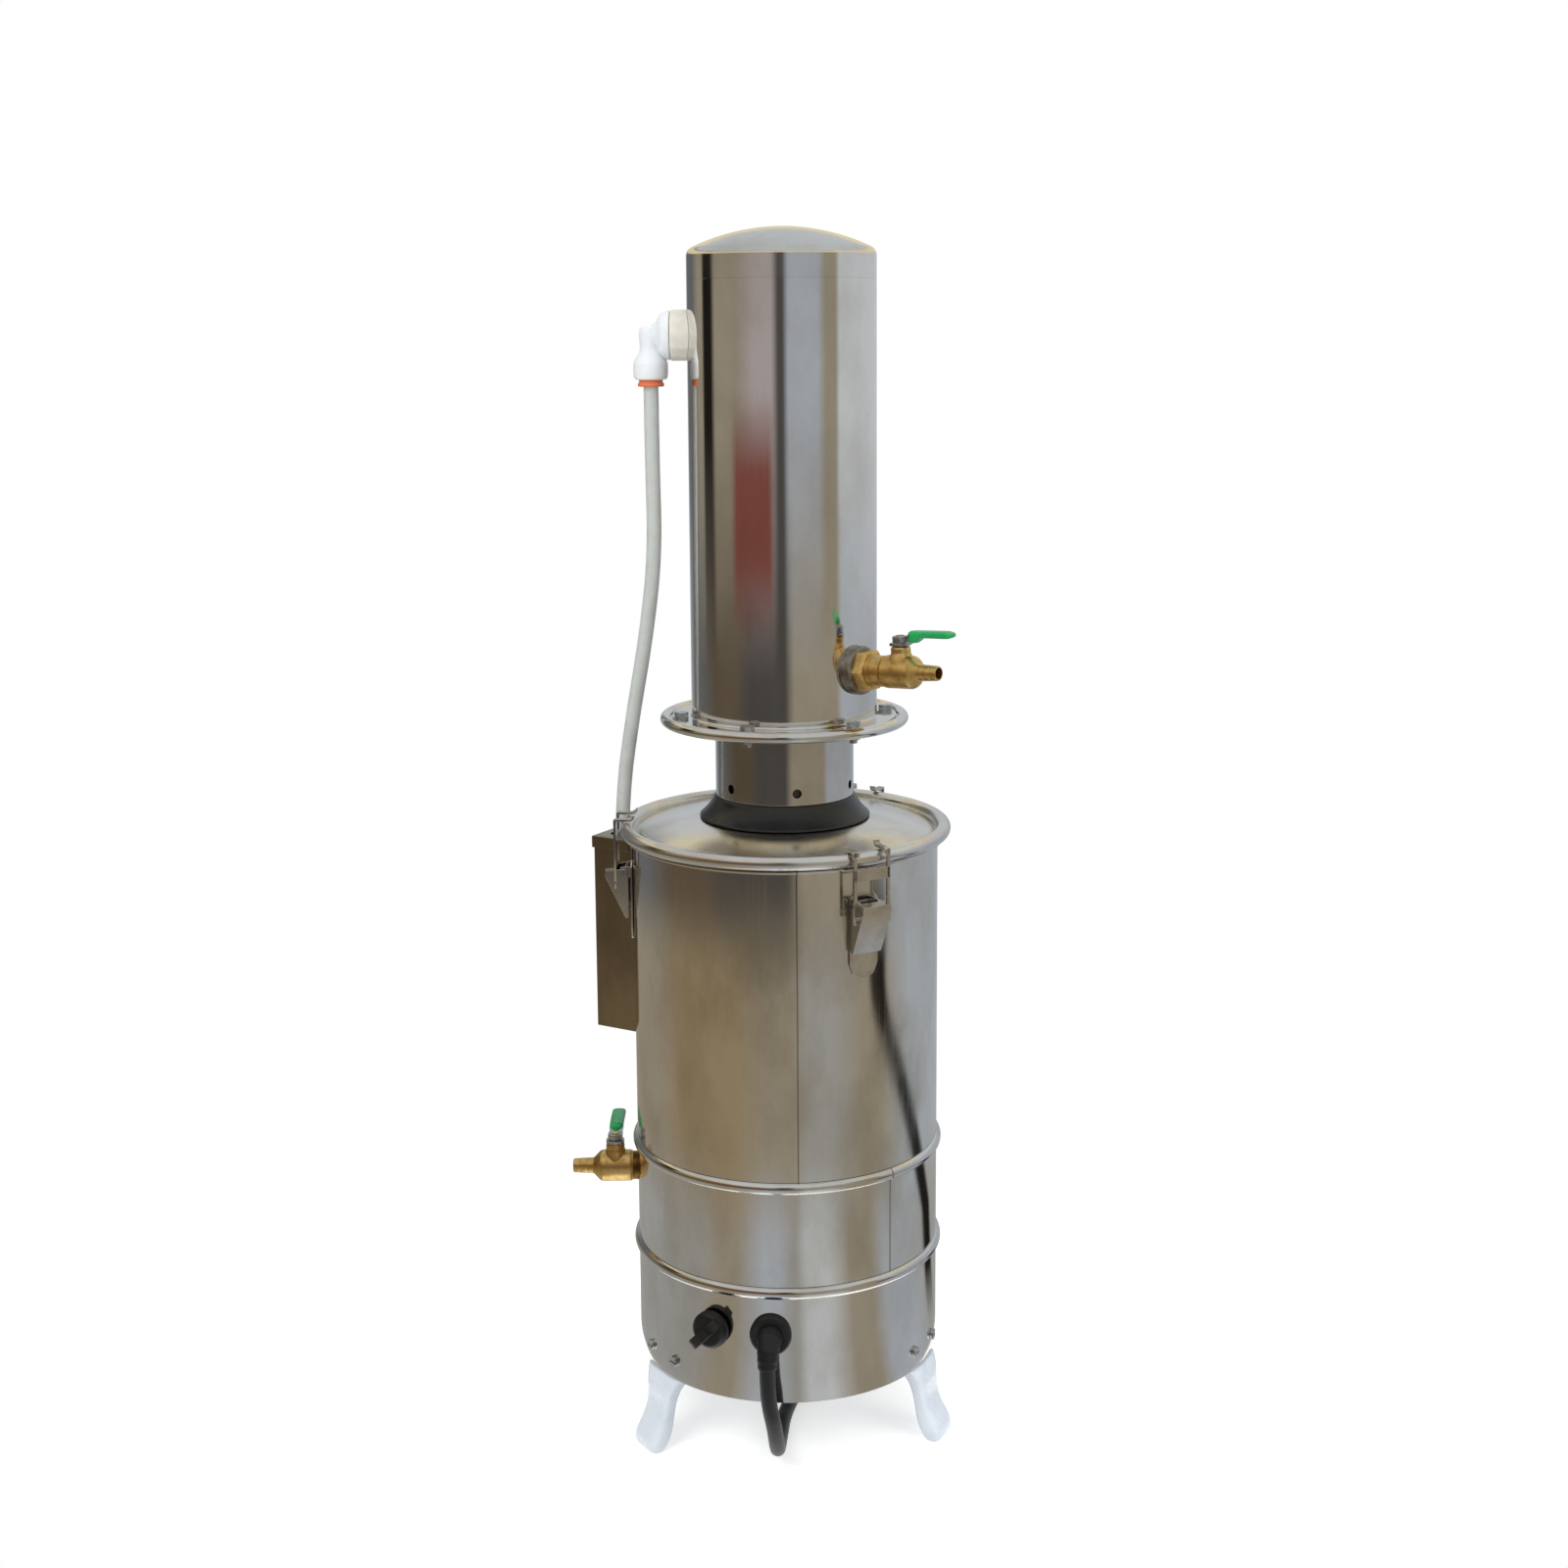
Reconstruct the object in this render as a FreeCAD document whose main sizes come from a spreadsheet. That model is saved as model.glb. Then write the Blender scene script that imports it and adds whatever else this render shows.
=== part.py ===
import FreeCAD, Part
import math
import os
import re
import Sketcher
from FreeCAD import Placement, Rotation, Vector

# Stainless-steel electric water distiller: boiler, lid, condenser, feed box, valves and mains lead.
# Millimetres. The origin is on the floor under the boiler's axis, +Z is up, and the front,
# where the knob is, faces -Y. An azimuth counts degrees from the front, positive to the right.

doc = FreeCAD.newDocument("water_distiller")
sheet = doc.addObject("Spreadsheet::Sheet", "Sizes")

# Driving dimensions: name and value in millimetres or degrees.
SIZES = {
    # boiler shells
    "shell_radius": 100.0,
    "shell_wall": 1.0,
    "stand_height": 50.0,
    "skirt_height": 73.5,
    "band_height": 69.5,
    "pot_height": 204.2,
    "bead_proud": 3.0,
    "bead_half": 4.0,
    "pot_flange": 4.0,
    "floor_height": 26.5,
    "floor_rim": 8.0,
    "slip_gap": 0.1,
    # feet and base cover
    "foot_azimuth": 4.0,
    "foot_width": 38.0,
    "foot_reach": 17.0,
    "foot_tab": 24.0,
    "tab_depth": 12.0,
    "screw_radius": 2.0,
    "screw_spread": 8.2,
    "cover_wall": 1.2,
    # switch and mains inlet
    "knob_azimuth": -28.3,
    "gland_azimuth": -6.4,
    "control_rise": 46.3,
    "knob_radius": 12.0,
    "spindle_radius": 3.0,
    "running_gap": 0.05,
    "gland_radius": 13.4,
    "gland_neck": 10.0,
    "gland_plate": 4.0,
    "boot_bend": 13.4,
    "boot_wide": 8.4,
    "boot_narrow": 6.3,
    "lead_radius": 5.0,
    # heating element
    "element_radius": 4.0,
    "element_spread": 18.0,
    "element_rise": 26.0,
    # lid
    "gasket_thick": 2.0,
    "gasket_width": 8.0,
    "rim_radius": 4.7,
    "rim_overhang": 3.8,
    "lid_rise": 8.0,
    "neck_radius": 42.1,
    "neck_length": 63.0,
    # condenser
    "seal_radius": 55.7,
    "collar_radius": 45.0,
    "collar_height": 48.2,
    "vent_radius": 3.0,
    "flange_radius": 77.2,
    "flange_bead": 3.5,
    "flange_plate": 2.0,
    "jacket_radius": 60.2,
    "jacket_height": 279.0,
    "jacket_foot": 12.6,
    "cap_skirt": 16.0,
    "cap_rise": 17.3,
    "bolt_circle": 67.5,
    "bolt_radius": 2.5,
    "riser_radius": 16.0,
    "riser_wall": 1.5,
    "riser_height": 252.0,
    "coil_radius": 38.0,
    "coil_tube": 5.0,
    "coil_pitch": 14.0,
    "spout_azimuth": 170.0,
    "spout_radius": 6.0,
    # cooling water fittings
    "elbow_azimuth": -91.0,
    "elbow_drop": 34.2,
    "elbow_reach": 23.3,
    "elbow_nut": 16.0,
    "hose_radius": 4.75,
    "collet_radius": 7.6,
    "inlet_azimuth": 50.0,
    "inlet_rise": 35.3,
    "inlet_tilt": 3.5,
    "drain_azimuth": -90.0,
    "drain_rise": 20.0,
    "inlet_reach": 35.4,
    "drain_reach": 15.5,
    "valve_bore": 4.5,
    "nipple_radius": 7.0,
    "ball_radius": 6.6,
    "stem_radius": 2.5,
    "handle_length": 40.0,
    # feed box
    "box_azimuth": -120.0,
    "box_width": 70.0,
    "box_depth": 28.5,
    "box_drop": 141.2,
    "box_height": 131.5,
    "sheet_wall": 1.0,
    # latches
    "latch_azimuth": 28.5,
    "latch_drop": 24.2,
    "latch_stand": 5.5,
    "latch_width": 20.4,
    "bail_width": 26.0,
    "latch_pin": 1.5,
    "strip_wall": 1.5,
}

# Places that follow from the driving dimensions.
PLACES = {
    "shell_inner": "shell_radius - shell_wall",
    "skirt_top": "stand_height + skirt_height + bead_half",
    "band_bottom": "stand_height + skirt_height + bead_half",
    "band_top": "stand_height + skirt_height + band_height + bead_half",
    "pot_top": "band_top + pot_height - 3",
    "floor_level": "stand_height + skirt_height + floor_height",
    "cover_level": "stand_height + foot_tab",
    "control_height": "stand_height + control_rise",
    "drain_height": "floor_level + drain_rise",
    "gasket_low": "pot_top",
    "lid_low": "pot_top + gasket_thick",
    "rim_centre_radius": "shell_radius + rim_overhang",
    "rim_height": "lid_low + rim_radius - 1.4",
    "rim_top": "rim_height + rim_radius",
    "neck_foot": "lid_low + lid_rise + 3",
    "neck_top": "neck_foot + neck_length",
    "flange_low": "neck_top",
    "flange_top": "flange_low + flange_plate",
    "jacket_low": "flange_top + 1",
    "jacket_inner": "jacket_radius - shell_wall",
    "jacket_top": "jacket_low + jacket_height",
    "inlet_height": "jacket_low + inlet_rise",
    "elbow_height": "jacket_top - elbow_drop",
    "cap_eave": "jacket_top + cap_skirt",
    "cap_top": "cap_eave + cap_rise",
    "spindle_bore": "spindle_radius + running_gap",
    "hose_bore": "hose_radius + 2 * running_gap",
    "box_outer": "shell_radius + box_depth",
    "box_bottom": "pot_top - box_drop",
    "box_top": "box_bottom + box_height",
    "latch_height": "pot_top - latch_drop",
    "pin_reach": "shell_radius + latch_stand",
}


def fill_sheet():
    """Each driving dimension is a plain number in a cell whose alias is its name."""
    for row, (name, value) in enumerate(SIZES.items(), start=1):
        sheet.set("A%d" % row, name)
        sheet.set("B%d" % row, str(value))
        sheet.setAlias("B%d" % row, name)
    doc.recompute()


def spelled(text):
    """An expression with every place written out and every size pointing at the sheet."""
    def swap(match):
        word = match.group(0)
        if word in PLACES:
            return "(" + spelled(PLACES[word]) + ")"
        if word in SIZES:
            return "Sizes." + word
        return word
    return re.sub(r"[A-Za-z_][A-Za-z_0-9]*", swap, str(text))


def value(text):
    """The number that an expression comes to."""
    return float(sheet.evalExpression(spelled(text)))


def spot(x="0", y="0", z="0", axis=(0, 0, 1), angle="0"):
    """A placement expression: moved to x, y, z and turned about an axis."""
    turn = "rotation(vector(%g; %g; %g); %s)" % (axis[0], axis[1], axis[2], angle)
    return "placement(vector(%s; %s; %s); %s)" % (x, y, z, turn)


def outward(azimuth, reach="0", height="0", tilt="0"):
    """A frame whose X axis points away from the main axis at an azimuth, with Z up."""
    swing = spot(angle="(%s) - 90" % azimuth)
    return swing + " * " + spot(reach, "0", height, (0, 1, 0), "-(%s)" % tilt)


LENGTHWAYS = (0, 1, 0)
CROSSWAYS = (-1, 0, 0)


def place(thing, *frames):
    """Bind a thing's placement to one or more frames, outermost first."""
    thing.setExpression("Placement", spelled(" * ".join(frames)))
    return thing


def primitive(kind, name, where, **sizes):
    """A Part primitive with its sizes and placement bound to the sheet."""
    thing = doc.addObject("Part::" + kind, name)
    for prop, text in sizes.items():
        if prop in ("Polygon",):
            setattr(thing, prop, int(text))
        else:
            thing.setExpression(prop, spelled(text))
    return place(thing, where)


def rod(name, radius, length, where):
    """A round bar along the local Z axis."""
    return primitive("Cylinder", name, where, Radius=radius, Height=length)


def rod_out(name, radius, start, length, y="0", z="0"):
    """A round bar along the local X axis from x = start."""
    return rod(name, radius, length, spot(start, y, z, LENGTHWAYS, "90"))


def rod_across(name, radius, x, z, half):
    """A round bar along the local Y axis, centred on y = 0."""
    return rod(name, radius, "2 * (%s)" % half, spot(x, "-(%s)" % half, z, CROSSWAYS, "90"))


def block(name, low, size):
    """A box from its low corner with its three sizes."""
    return primitive("Box", name, spot(*low), Length=size[0], Width=size[1], Height=size[2])


def hexagon(name, radius, length, where):
    """A hexagonal bar along the local Z axis; the radius reaches its corners."""
    return primitive("Prism", name, where, Polygon="6", Circumradius=radius, Height=length)


def cut(name, base, *tools):
    """The base with the tools taken away."""
    thing = doc.addObject("Part::Cut", name)
    thing.Base = base
    thing.Tool = tools[0] if len(tools) == 1 else join(name + "_tools", *tools)
    return thing


def join(name, *parts):
    """Several shapes fused into one."""
    thing = doc.addObject("Part::MultiFuse", name)
    thing.Shapes = list(parts)
    return thing


def group(name, *parts):
    """Separate solids kept side by side in one node."""
    thing = doc.addObject("Part::Compound", name)
    thing.Links = list(parts)
    return thing


def shared(name, first, second):
    """What two shapes have in common."""
    thing = doc.addObject("Part::Common", name)
    thing.Base = first
    thing.Tool = second
    return thing


def outline_sketch(body, plane, outline, bulges):
    """A closed sketch: corners bound to the sheet, and some sides bulged into arcs.

    bulges maps a side's number to how far its arc stands out to the right of its direction.
    """
    sketch = body.newObject("Sketcher::SketchObject", body.Name + "_outline")
    planes = [item for item in body.Origin.OriginFeatures if item.Role == plane]
    sketch.AttachmentSupport = (planes[0], [""])
    sketch.MapMode = "FlatFace"
    corners = [Vector(value(x), value(y), 0) for x, y in outline]
    count = len(corners)
    for side in range(count):
        start = corners[side]
        end = corners[(side + 1) % count]
        if side in bulges:
            across = end - start
            normal = Vector(across.y, -across.x, 0).normalize()
            stand = value(bulges[side])
            middle = (start + end) * 0.5 + normal * stand
            ends = (start, end) if stand > 0 else (end, start)
            sketch.addGeometry(Part.Arc(ends[0], middle, ends[1]), False)
        else:
            sketch.addGeometry(Part.LineSegment(start, end), False)

    def end_number(side, corner):
        shape = sketch.Geometry[side]
        return 1 if (shape.StartPoint - corner).Length < (shape.EndPoint - corner).Length else 2

    starts = [end_number(side, corners[side]) for side in range(count)]
    constraints = []
    for side in range(count):
        follower = (side + 1) % count
        constraints.append(Sketcher.Constraint(
            "Coincident", side, 3 - starts[side], follower, starts[follower]))
    bound = []
    for side, (corner, texts) in enumerate(zip(corners, outline)):
        for kind, number, text in (("DistanceX", corner.x, texts[0]),
                                   ("DistanceY", corner.y, texts[1])):
            bound.append((len(constraints), text))
            constraints.append(Sketcher.Constraint(kind, -1, 1, side, starts[side], number))
    for side, stand in bulges.items():
        x0, y0 = outline[side]
        x1, y1 = outline[(side + 1) % count]
        chord = "((%s) - (%s))^2 + ((%s) - (%s))^2" % (x1, x0, y1, y0)
        radius = "(%s) / (8 * abs(%s)) + abs(%s) / 2" % (chord, stand, stand)
        bound.append((len(constraints), radius))
        constraints.append(Sketcher.Constraint("Radius", side, value(radius)))
    sketch.addConstraint(constraints)
    for index, text in bound:
        sketch.setExpression("Constraints[%d]" % index, spelled(text))
    return sketch


def turned(name, outline, bulges=None):
    """A body turned about the main axis from a half outline of (radius, height) corners."""
    body = doc.addObject("PartDesign::Body", name)
    sketch = outline_sketch(body, "XZ_Plane", outline, bulges or {})
    turn = body.newObject("PartDesign::Revolution", name + "_turn")
    turn.Profile = sketch
    turn.ReferenceAxis = (sketch, ["V_Axis"])
    turn.Angle = 360
    body.Tip = turn
    return body


def ring(name, inner, outer, low, high):
    """A plain turned ring or tube."""
    return turned(name, [(inner, low), (outer, low), (outer, high), (inner, high)])


def padded(name, plane, outline, depth, bulges=None):
    """A body padded from an outline, half its depth to each side of the sketch plane."""
    body = doc.addObject("PartDesign::Body", name)
    sketch = outline_sketch(body, plane, outline, bulges or {})
    pad = body.newObject("PartDesign::Pad", name + "_pad")
    pad.Profile = sketch
    pad.Midplane = True
    pad.setExpression("Length", spelled(depth))
    body.Tip = pad
    return body


def routed_wire(points, label=""):
    """Straight runs joined by tangent arcs, each as large as its two runs allow."""
    edges = []
    radii = []
    start = points[0]
    for before, here, after in zip(points, points[1:], points[2:]):
        arriving = here - before
        leaving = after - here
        shorter = min(arriving.Length, leaving.Length)
        reach = 0.45 * shorter
        arriving = Vector(arriving).normalize()
        leaving = Vector(leaving).normalize()
        half_turn = arriving.getAngle(leaving) / 2
        radii.append(reach / math.tan(half_turn))
        first = here - arriving * reach
        last = here + leaving * reach
        chord_middle = (first + last) * 0.5
        inward = Vector(here - chord_middle).normalize()
        rise = (last - first).Length / 2 * math.tan(half_turn / 2)
        edges.append(Part.LineSegment(start, first).toShape())
        edges.append(Part.Arc(first, chord_middle + inward * rise, last).toShape())
        start = last
    edges.append(Part.LineSegment(start, points[-1]).toShape())
    if label:
        print(label, "radii", [round(radius, 1) for radius in radii])
    return Part.Wire(edges)


def swept(name, wire, radius, bore=0.0):
    """A round tube carried along a wire; its volume is compared with section times length."""
    start = wire.Edges[0].valueAt(wire.Edges[0].FirstParameter)
    along = wire.Edges[0].tangentAt(wire.Edges[0].FirstParameter)

    def tube(size):
        circle = Part.Wire(Part.Circle(start, along, size).toShape())
        return wire.makePipeShell([circle], True, False)

    shape = tube(radius)
    expected = math.pi * radius ** 2 * wire.Length
    print(name, "length %.1f, volume ratio %.4f" % (wire.Length, shape.Volume / expected))
    if bore:
        shape = shape.cut(tube(bore))
    thing = doc.addObject("Part::Feature", name)
    thing.Shape = shape
    return thing


def biarc(start, start_way, end, end_way):
    """Two tangent arcs from one point and direction to another."""
    across = end - start
    both = start_way + end_way
    spread = 2 * (1 - start_way.dot(end_way))
    lean = across.dot(both)
    if abs(spread) < 1e-9:
        reach = across.dot(across) / (2 * lean)
    else:
        reach = (math.sqrt(lean ** 2 + spread * across.dot(across)) - lean) / spread
    joint = (start + start_way * reach + end - end_way * reach) * 0.5
    edges = []
    for first, last, peak in ((start, joint, start + start_way * reach),
                              (joint, end, end - end_way * reach)):
        middle = (first + last) * 0.5
        toward = peak - middle
        half = (last - first).Length / 2
        if toward.Length < 1e-6:
            edges.append(Part.LineSegment(first, last).toShape())
            continue
        half_turn = math.atan2(toward.Length, half)
        rise = half * math.tan(half_turn / 2)
        edges.append(Part.Arc(first, middle + toward.normalize() * rise, last).toShape())
    return edges


def least_gap(wire, radius, step=2.0):
    """The least clear gap between turns of a wound tube, measured on points along it."""
    points = wire.discretize(Distance=step)
    apart = int(math.pi * radius * 3 / step)
    least = 1e9
    for index, point in enumerate(points):
        for other in points[index + apart:]:
            least = min(least, (point - other).Length)
    return least - 2 * radius


parts = {}


def keep(node, thing):
    """Name a finished sub-part."""
    thing.Label = node
    parts[node] = thing
    return thing


def wall_hole(name, radius, azimuth, height, wall="shell_radius"):
    """A drill that passes through a round wall at an azimuth and height."""
    drill = rod(name, radius, "20", spot())
    return place(drill, outward(azimuth, wall + " - 10", height), spot(axis=LENGTHWAYS, angle="90"))


# Boiler shells

def make_base_skirt():
    bead_low = "skirt_top - 2 * bead_half"
    outline = [("shell_inner", "stand_height"), ("shell_radius", "stand_height"),
               ("shell_radius", bead_low), ("shell_radius", "skirt_top"),
               ("shell_inner", "skirt_top"), ("shell_inner", bead_low)]
    shell = turned("skirt_shell", outline, {2: "bead_proud", 4: "-bead_proud"})
    tools = [wall_hole("knob_hole", "5.3", "knob_azimuth", "control_height"),
             wall_hole("gland_hole", "gland_neck + slip_gap", "gland_azimuth", "control_height")]
    for foot, azimuth in enumerate(FOOT_AZIMUTHS):
        for side in (-1, 1):
            where = "%s + %d * screw_spread" % (azimuth, side)
            tools.append(wall_hole("skirt_screw_hole", "screw_radius + slip_gap", where,
                                   SCREW_HEIGHT))
    keep("base_skirt", cut("base_skirt", shell, *tools))


FOOT_NAMES = ("left", "right", "rear")
FOOT_AZIMUTHS = ("foot_azimuth - 60", "foot_azimuth + 60", "foot_azimuth + 180")
SCREW_HEIGHT = "stand_height + 12.5"


def make_feet():
    """White moulded cabriole feet: a tab inside the skirt, a waist and a toe turned out."""
    side = [("shell_inner - tab_depth", "stand_height + foot_tab"),
            ("shell_inner + 1", "stand_height + foot_tab"),
            ("shell_inner + 1", "stand_height"),
            ("shell_radius + 1.2", "stand_height"),
            ("shell_radius + 5.5", "stand_height * 0.78"),
            ("shell_radius + 5", "stand_height * 0.5"),
            ("shell_radius + foot_reach - 0.5", "stand_height * 0.17"),
            ("shell_radius + foot_reach - 3.5", "0"),
            ("shell_radius + 5", "0"),
            ("shell_radius - 2", "stand_height * 0.2"),
            ("shell_radius - 4", "stand_height * 0.6"),
            ("shell_radius - 9", "stand_height * 0.9"),
            ("shell_inner - tab_depth", "stand_height")]
    front = [("-foot_width / 2", "stand_height + foot_tab"),
             ("-foot_width / 2", "stand_height"),
             ("-foot_width * 0.34", "stand_height * 0.6"),
             ("-foot_width * 0.33", "stand_height * 0.22"),
             ("-foot_width * 0.29", "0"),
             ("foot_width * 0.29", "0"),
             ("foot_width * 0.33", "stand_height * 0.22"),
             ("foot_width * 0.34", "stand_height * 0.6"),
             ("foot_width / 2", "stand_height"),
             ("foot_width / 2", "stand_height + foot_tab")]
    for name, azimuth in zip(FOOT_NAMES, FOOT_AZIMUTHS):
        from_side = padded("foot_side_" + name, "XZ_Plane", side, "foot_width + 4",
                           {3: "-0.8", 5: "2", 9: "1.2", 10: "1"})
        from_front = padded("foot_front_" + name, "YZ_Plane", front, "4 * shell_radius",
                            {1: "0.8", 2: "-0.5", 6: "-0.5", 7: "0.8"})
        both = shared("foot_both_" + name, from_side, from_front)
        skirt_room = cut("foot_room_" + name,
                         rod("foot_room_outer_" + name, "shell_radius + 60", "foot_tab + 10",
                             spot("0", "0", "stand_height")),
                         rod("foot_room_inner_" + name, "shell_inner - slip_gap", "foot_tab + 12",
                             spot("0", "0", "stand_height - 1")))
        holes = []
        for side_sign in (-1, 1):
            pilot = rod("foot_pilot", "screw_radius", "12", spot())
            holes.append(place(pilot, outward("90 + %d * screw_spread" % side_sign,
                                              "shell_radius - 11", SCREW_HEIGHT),
                               spot(axis=LENGTHWAYS, angle="90")))
        foot = cut("foot_" + name, both, skirt_room, *holes)
        keep("foot_" + name, place(foot, outward(azimuth)))


def make_foot_screws():
    screws = []
    for azimuth in FOOT_AZIMUTHS:
        for side in (-1, 1):
            shank = rod_out("screw_shank", "screw_radius", "shell_radius - 11", "11.5")
            head = rod_out("screw_head", "3.6", "shell_radius + 0.1", "2")
            slot = block("screw_slot", ("shell_radius + 1.4", "-4", "-0.5"), ("2", "8", "1"))
            screw = cut("foot_screw", join("screw_blank", shank, head), slot)
            screws.append(place(screw, outward("%s + %d * screw_spread" % (azimuth, side),
                                               "0", SCREW_HEIGHT)))
    keep("foot_screws", group("foot_screws", *screws))


def make_base_cover():
    rim = "shell_inner - slip_gap"
    pan = turned("cover_pan", [("0", "cover_level"), (rim, "cover_level"),
                               (rim, "cover_level + 5"), (rim + " - cover_wall", "cover_level + 5"),
                               (rim + " - cover_wall", "cover_level + cover_wall"),
                               ("0", "cover_level + cover_wall")])
    vents = []
    for step in range(8):
        slot = block("cover_vent", ("40", "-2.5", "cover_level - 1"), ("28", "5", "cover_wall + 2"))
        vents.append(place(slot, spot(angle="%d" % (45 * step)), spot("40", "-2.5", "cover_level - 1")))
    keep("base_cover", cut("base_cover", pan, *vents))


def make_band_and_floor():
    bead_low = "band_top - 2 * bead_half"
    outline = [("shell_inner", "band_bottom"), ("shell_radius", "band_bottom"),
               ("shell_radius", bead_low), ("shell_radius", "band_top"),
               ("shell_inner", "band_top"), ("shell_inner", bead_low)]
    shell = turned("band_shell", outline, {2: "bead_proud", 4: "-bead_proud"})
    hole = wall_hole("drain_hole", "nipple_radius + slip_gap", "drain_azimuth", "drain_height")
    keep("middle_band", cut("middle_band", shell, hole))
    rim = "shell_inner - slip_gap / 2"
    dish = turned("floor_dish", [("0", "floor_level"), (rim, "floor_level"),
                                 (rim, "floor_level + floor_rim"),
                                 (rim + " - 1.5", "floor_level + floor_rim"),
                                 (rim + " - 1.5", "floor_level + 1.5"), ("0", "floor_level + 1.5")])
    legs = [rod("floor_hole", "element_radius + slip_gap", "10",
                spot("%d * element_spread / 2" % side, ELEMENT_BACK, "floor_level - 4"))
            for side in (-1, 1)]
    keep("vessel_floor", cut("vessel_floor", dish, *legs))


ELEMENT_BACK = "-50"


def make_boiler_pot():
    outline = [("shell_inner", "band_top"), ("shell_radius", "band_top"),
               ("shell_radius", "pot_top - shell_wall - 1.5"),
               ("shell_radius + 1.5", "pot_top - shell_wall"),
               ("shell_radius + pot_flange", "pot_top - shell_wall"),
               ("shell_radius + pot_flange", "pot_top"), ("shell_inner + 1", "pot_top"),
               ("shell_inner", "pot_top - 1")]
    shell = turned("pot_shell", outline)
    stub = rod_out("feed_stub", "6", "shell_radius - 6", "12")
    place(stub, outward("box_azimuth", "0", "box_bottom + 14"),
          spot("shell_radius - 6", "0", "0", LENGTHWAYS, "90"))
    way = wall_hole("feed_way", "4.6", "box_azimuth", "box_bottom + 14")
    keep("boiler_pot", cut("boiler_pot", join("pot_with_stub", shell, stub), way))


# Switch, mains inlet and electrics

def make_switch():
    body = block("switch_block", ("62", "-17", "-17"), ("shell_inner - 1.7 - 62", "34", "34"))
    neck = rod_out("switch_neck", "5", "shell_inner - 1.7", "4")
    bore = rod_out("switch_bore", "spindle_bore", "69", "40")
    tabs = [block("switch_tab", ("54", "%d" % y, "%d" % z), ("8.5", "6", "0.8"))
            for y in (-12, 6) for z in (-9, 8)]
    switch = cut("switch_body", join("switch_blank", body, neck, *tabs), bore)
    where = outward("knob_azimuth", "0", "control_height")
    keep("switch_body", place(switch, where))
    keep("switch_spindle", place(rod_out("switch_spindle", "spindle_radius", "70", "40"), where,
                                 spot("70", "0", "0", LENGTHWAYS, "90")))
    skirt = rod_out("knob_skirt", "knob_radius", "shell_radius + 1.8", "5.5")
    dome = primitive("Cone", "knob_shoulder", spot("shell_radius + 7.3", "0", "0", LENGTHWAYS, "90"),
                     Radius1="knob_radius", Radius2="knob_radius - 2.5", Height="2.5")
    wing = padded("knob_wing", "XY_Plane",
                  [("shell_radius + 7", "-13.8"), ("shell_radius + 15", "-12"),
                   ("shell_radius + 17.5", "0"), ("shell_radius + 15", "12"),
                   ("shell_radius + 7", "13.8")], "7", {})
    pointer = block("knob_pointer", ("shell_radius + 8", "11.5", "-1.2"), ("7", "4.3", "2.4"))
    knob_bore = rod_out("knob_bore", "spindle_bore", "shell_radius", "10.1")
    knob = cut("switch_knob", join("knob_blank", skirt, dome, wing, pointer), knob_bore)
    keep("switch_knob", place(knob, where, spot(axis=(1, 0, 0), angle=KNOB_TURN)))


KNOB_TURN = "46"


def make_gland():
    where = outward("gland_azimuth", "0", "control_height")
    plate = rod_out("gland_plate_blank", "gland_radius", "shell_radius - 3", "3 + gland_plate")
    wall = rod("gland_wall_room", "shell_radius + slip_gap / 2", "80", spot("0", "0", "-40"))
    neck = rod_out("gland_neck_blank", "gland_neck", "shell_radius - 9", "11")
    gland = join("cable_gland", cut("gland_plate_fit", plate, wall), neck)
    keep("cable_gland", place(gland, where))


def make_strain_relief():
    """A moulded boot that turns the lead down, tapered from the gland to the cable."""
    sections = 7
    rings = []
    for step in range(sections):
        share = step / (sections - 1)
        angle = 90 * share
        radius = "boot_wide + (boot_narrow - boot_wide) * %g" % share
        circle = doc.addObject("Part::Circle", "boot_ring")
        circle.setExpression("Radius", spelled(radius))
        x = "shell_radius + gland_plate + 2 + boot_bend * sin(%g)" % angle
        z = "-boot_bend * (1 - cos(%g))" % angle
        place(circle, outward("gland_azimuth", "0", "control_height"),
              spot(x, "0", z, LENGTHWAYS, "%g" % (90 + angle)))
        rings.append(circle)
    boot = doc.addObject("Part::Loft", "boot_bend_piece")
    boot.Sections = rings
    boot.Solid = True
    foot = rod_out("boot_foot", "boot_wide", "shell_radius + gland_plate", "2")
    place(foot, outward("gland_azimuth", "0", "control_height"),
          spot("shell_radius + gland_plate", "0", "0", LENGTHWAYS, "90"))
    keep("strain_relief", join("strain_relief", boot, foot))


# The mains lead leaves the boot pointing down, turns back under the base and runs behind it.
LEAD_ROUTE = [
    (-13.309, -118.656, 82.85),
    (-13.309, -118.656, 49.9),
    (-12.2, -102.8, 21.4),
    (-9.5, -74.5, 5.1),
    (-2.0, -15.0, 5.1),
    (22.0, 45.0, 5.1),
    (50.0, 95.0, 5.1),
    (61.5, 140.0, 5.1),
    (61.5, 186.0, 5.1),
]
COIL_CENTRE = Vector(0, 196, 5.1)
COIL_OUTER = 61.5
COIL_STEP = 10.5
COIL_QUARTERS = 14


def make_lead():
    points = [Vector(*point) for point in LEAD_ROUTE]
    wire = routed_wire(points, "mains_cable")
    keep("mains_cable", swept("mains_cable", wire, value("lead_radius")))
    return wire.Length


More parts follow.
